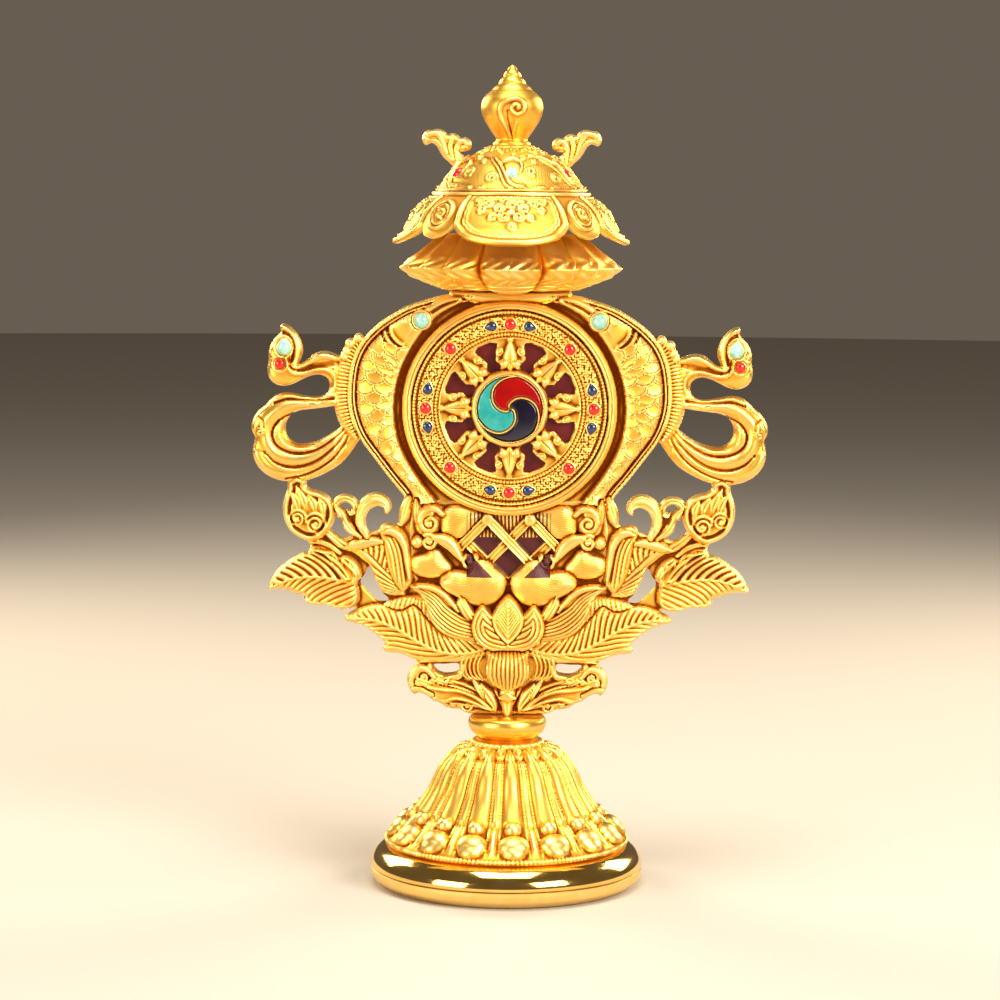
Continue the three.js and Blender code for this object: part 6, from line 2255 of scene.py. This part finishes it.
@dataclass(frozen=True)
class PaleFloor:
    """Matt pale studio paper, which barely shows its own grain."""

    name: str = "studio_paper"
    colour: str = "#B3ADA4"

    def build(self) -> bpy.types.Material:
        """Makes the material."""
        material, tree = new_material(self.name)
        place = add_node(tree, "ShaderNodeTexCoord").outputs["Object"]
        grain = add_node(tree, "ShaderNodeTexNoise", {"Scale": 900.0, "Detail": 2.0}, {"Vector": place}).outputs["Fac"]
        base = ramp(tree, [(0.0, linear(self.colour)), (1.0, linear("#BBB5AC"))], grain).outputs["Color"]
        shader = add_node(tree, "ShaderNodeBsdfPrincipled", {"Roughness": 0.85}, {"Base Color": base})
        add_node(tree, "ShaderNodeOutputMaterial", links={"Surface": shader.outputs[0]})
        return material


# What each finish is in life, and what that gives the eye
# In each gilt the raised colour is a painted highlight, and the hollow and deep colours are painted shade.
SATIN_GILT = CastGilt()
SMOOTH_GILT = CastGilt(name="satin_polished_gilt", roughness=0.37, grain_depth_mm=0.008, hollow_shade="#DA9C34")
FINE_GILT = CastGilt(name="engraved_gilt", roughness=0.42, hollow_shade="#C4822A", deep="#74400F")
MIRROR_GILT = PolishedGilt()
CUSHION_GILT = PolishedGilt(name="burnished_gilt", colour="#F9CC62", shade="#F2C054", roughness=0.3)
CORAL = GlossyFill("polished_coral", "#C40F08", "#E0281A", 0.16, 1.49, 1.6, coat=0.4)
TURQUOISE = GlossyFill("polished_turquoise", "#74B7AE", "#A9D2C2", 0.22, 1.61, 1.1)
LAPIS = GlossyFill("polished_lapis", "#101C38", "#27406C", 0.15, 1.5, 0.9, coat=0.4)
RED_ENAMEL = GlossyFill("fired_red_enamel", "#8C0404", "#A00808", 0.1, 1.52, 5.0, coat=0.5)
BLUE_ENAMEL = GlossyFill("fired_navy_enamel", "#100C1C", "#1A1630", 0.1, 1.52, 5.0, coat=0.5)
TEAL_ENAMEL = GlossyFill("fired_turquoise_enamel", "#1E8C8C", "#3FA8A2", 0.1, 1.52, 5.0, coat=0.5)
MAROON = GlossyFill("maroon_lacquer", "#4A0509", "#5C0A0E", 0.32, 1.5, 4.0, coat=0.1)


@dataclass
class Studio:
    """Pale floor, soft lights and the camera at the photograph's angle."""

    eye: tuple[float, float, float] = (0.0, -760.0, 173.0)
    look_at: tuple[float, float, float] = (-2.25, 0.0, 96.75)
    width_mm: float = 250.0
    sensor_mm: float = 36.0
    roll_degrees: float = 0.45

    def camera(self) -> None:
        """Adds the camera."""
        eye, aim = Vector(self.eye) * MM, Vector(self.look_at) * MM
        data = bpy.data.cameras.new("camera")
        data.sensor_width = self.sensor_mm
        data.lens = self.sensor_mm * (aim - eye).length / (self.width_mm * MM)
        data.clip_start, data.clip_end = 0.05, 20.0
        view = bpy.data.objects.new("camera", data)
        turned = (aim - eye).to_track_quat("-Z", "Y").to_matrix().to_4x4()
        roll = Matrix.Rotation(math.radians(self.roll_degrees), 4, "Z")
        view.matrix_world = Matrix.Translation(eye) @ turned @ roll
        bpy.context.collection.objects.link(view)
        bpy.context.scene.camera = view

    def light(self, name: str, place: Point, aim: Point, size: float, watts: float, colour: str = "#FFFFFF") -> None:
        """Adds one soft area light.

        Args:
            name: its name.
            place: where it stands, in mm.
            aim: what it points at, in mm.
            size: side in mm.
            watts: power.
            colour: sRGB hex.
        """
        data = bpy.data.lights.new(name, "AREA")
        data.size = size * MM
        data.energy = watts
        data.color = linear(colour)[:3]
        lamp = bpy.data.objects.new(name, data)
        away = (Vector(aim) - Vector(place)) * MM
        lamp.matrix_world = Matrix.Translation(Vector(place) * MM) @ away.to_track_quat("-Z", "Y").to_matrix().to_4x4()
        bpy.context.collection.objects.link(lamp)

    def build(self) -> None:
        """Adds floor, lights, world and camera."""
        deselect()
        bpy.ops.mesh.primitive_circle_add(vertices=96, radius=3.0, fill_type="NGON")
        floor = bpy.context.object
        floor.name = "studio_floor"
        floor.data.materials.append(PaleFloor().build())
        middle = (0.0, 0.0, 100.0)
        self.light("key", (520.0, -640.0, 420.0), middle, 420.0, 10.0, "#FFF6E8")
        self.light("fill", (-620.0, -560.0, 240.0), middle, 420.0, 5.0, "#FFF2E0")
        self.light("top", (0.0, -160.0, 760.0), middle, 420.0, 6.0, "#FFFAF0")
        self.light("rim_left", (-460.0, 420.0, 380.0), middle, 300.0, 4.0, "#FFECD0")
        self.light("rim_right", (500.0, 380.0, 340.0), middle, 300.0, 4.0, "#FFECD0")
        bpy.context.scene.view_settings.view_transform = "Standard"
        world = bpy.context.scene.world or bpy.data.worlds.new("studio")
        bpy.context.scene.world = world
        world.use_nodes = True
        world.node_tree.nodes.clear()
        sky = add_node(world.node_tree, "ShaderNodeBackground", {"Color": linear("#B4A390"), "Strength": 0.3})
        add_node(world.node_tree, "ShaderNodeOutputWorld", links={"Surface": sky.outputs[0]})
        self.camera()


# Assembly


def dress(piece: bpy.types.Object, material: bpy.types.Material, slot: str, *nodes: str) -> None:
    """Gives a piece its finish and its body, and hides the CAD nodes that it stands for.

    Args:
        piece: the piece.
        material: its finish.
        slot: not used.
        nodes: CAD nodes that it replaces.
    """
    piece.data.materials.clear()
    piece.data.materials.append(material)
    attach(piece, "root")
    if nodes:
        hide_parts(*nodes)
    corners = sum(len(p.vertices) - 2 for p in piece.data.polygons)
    LOG.info("%s: %d triangles, %s", piece.name, corners, material.name)


def main() -> None:
    """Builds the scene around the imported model."""
    logging.basicConfig(level=logging.INFO, format="%(message)s")
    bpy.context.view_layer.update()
    deselect()
    Studio().build()
    satin, smooth, fine = SATIN_GILT.build(), SMOOTH_GILT.build(), FINE_GILT.build()
    mirror, cushion = MIRROR_GILT.build(), CUSHION_GILT.build()
    fills = {
        "coral": CORAL.build(), "turquoise": TURQUOISE.build(), "lapis": LAPIS.build(),
        "red_enamel": RED_ENAMEL.build(), "blue_enamel": BLUE_ENAMEL.build(),
        "turquoise_enamel": TEAL_ENAMEL.build(), "maroon_lacquer": MAROON.build(),
    }
    polished_half, satin_half = Plinth().build()
    dress(polished_half, mirror, "polished_gilt", "plinth")
    dress(satin_half, smooth, "gilt", "plinth")
    dress(Foot().build(), smooth, "gilt", "foot")
    dress(Collar().build(), cushion, "polished_gilt", "collar")
    dress(Bracket().build(), satin, "gilt", "body")
    dress(KnotAndClouds().build(), satin, "gilt", "body")
    for piece in Leaves().build():
        dress(piece, satin, "gilt", "body")
    for piece in Ribbons().build():
        dress(piece, smooth, "gilt", "body")
    dress(WheelFrame().build(), satin, "gilt", "body")
    dress(Wheel().build(), fine, "gilt", "wheel")
    hub = HubEnamel()
    for piece, slot in zip(hub.build(), ("red_enamel", "blue_enamel", "turquoise_enamel")):
        dress(piece, fills[slot], slot, slot.replace("_enamel", "").join(("enamel_", "")))
    dress(hub.wires(), smooth, "gilt", "wheel")
    dress(Valance().build(), satin, "gilt", "valance")
    canopy = Canopy()
    dress(canopy.build(), fine, "gilt", "canopy")
    for piece in canopy.horns():
        dress(piece, satin, "gilt", "canopy")
    dress(Finial().build(), smooth, "gilt", "finial")
    for stone, gem, collar in Stones().build():
        dress(gem, fills[stone.slot], stone.slot, stone.node)
        dress(collar, smooth, "gilt", stone.node)
    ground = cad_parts["wheel_ground"]
    ground.data.materials.clear()
    ground.data.materials.append(fills["maroon_lacquer"])


if __name__ == "__main__":
    main()
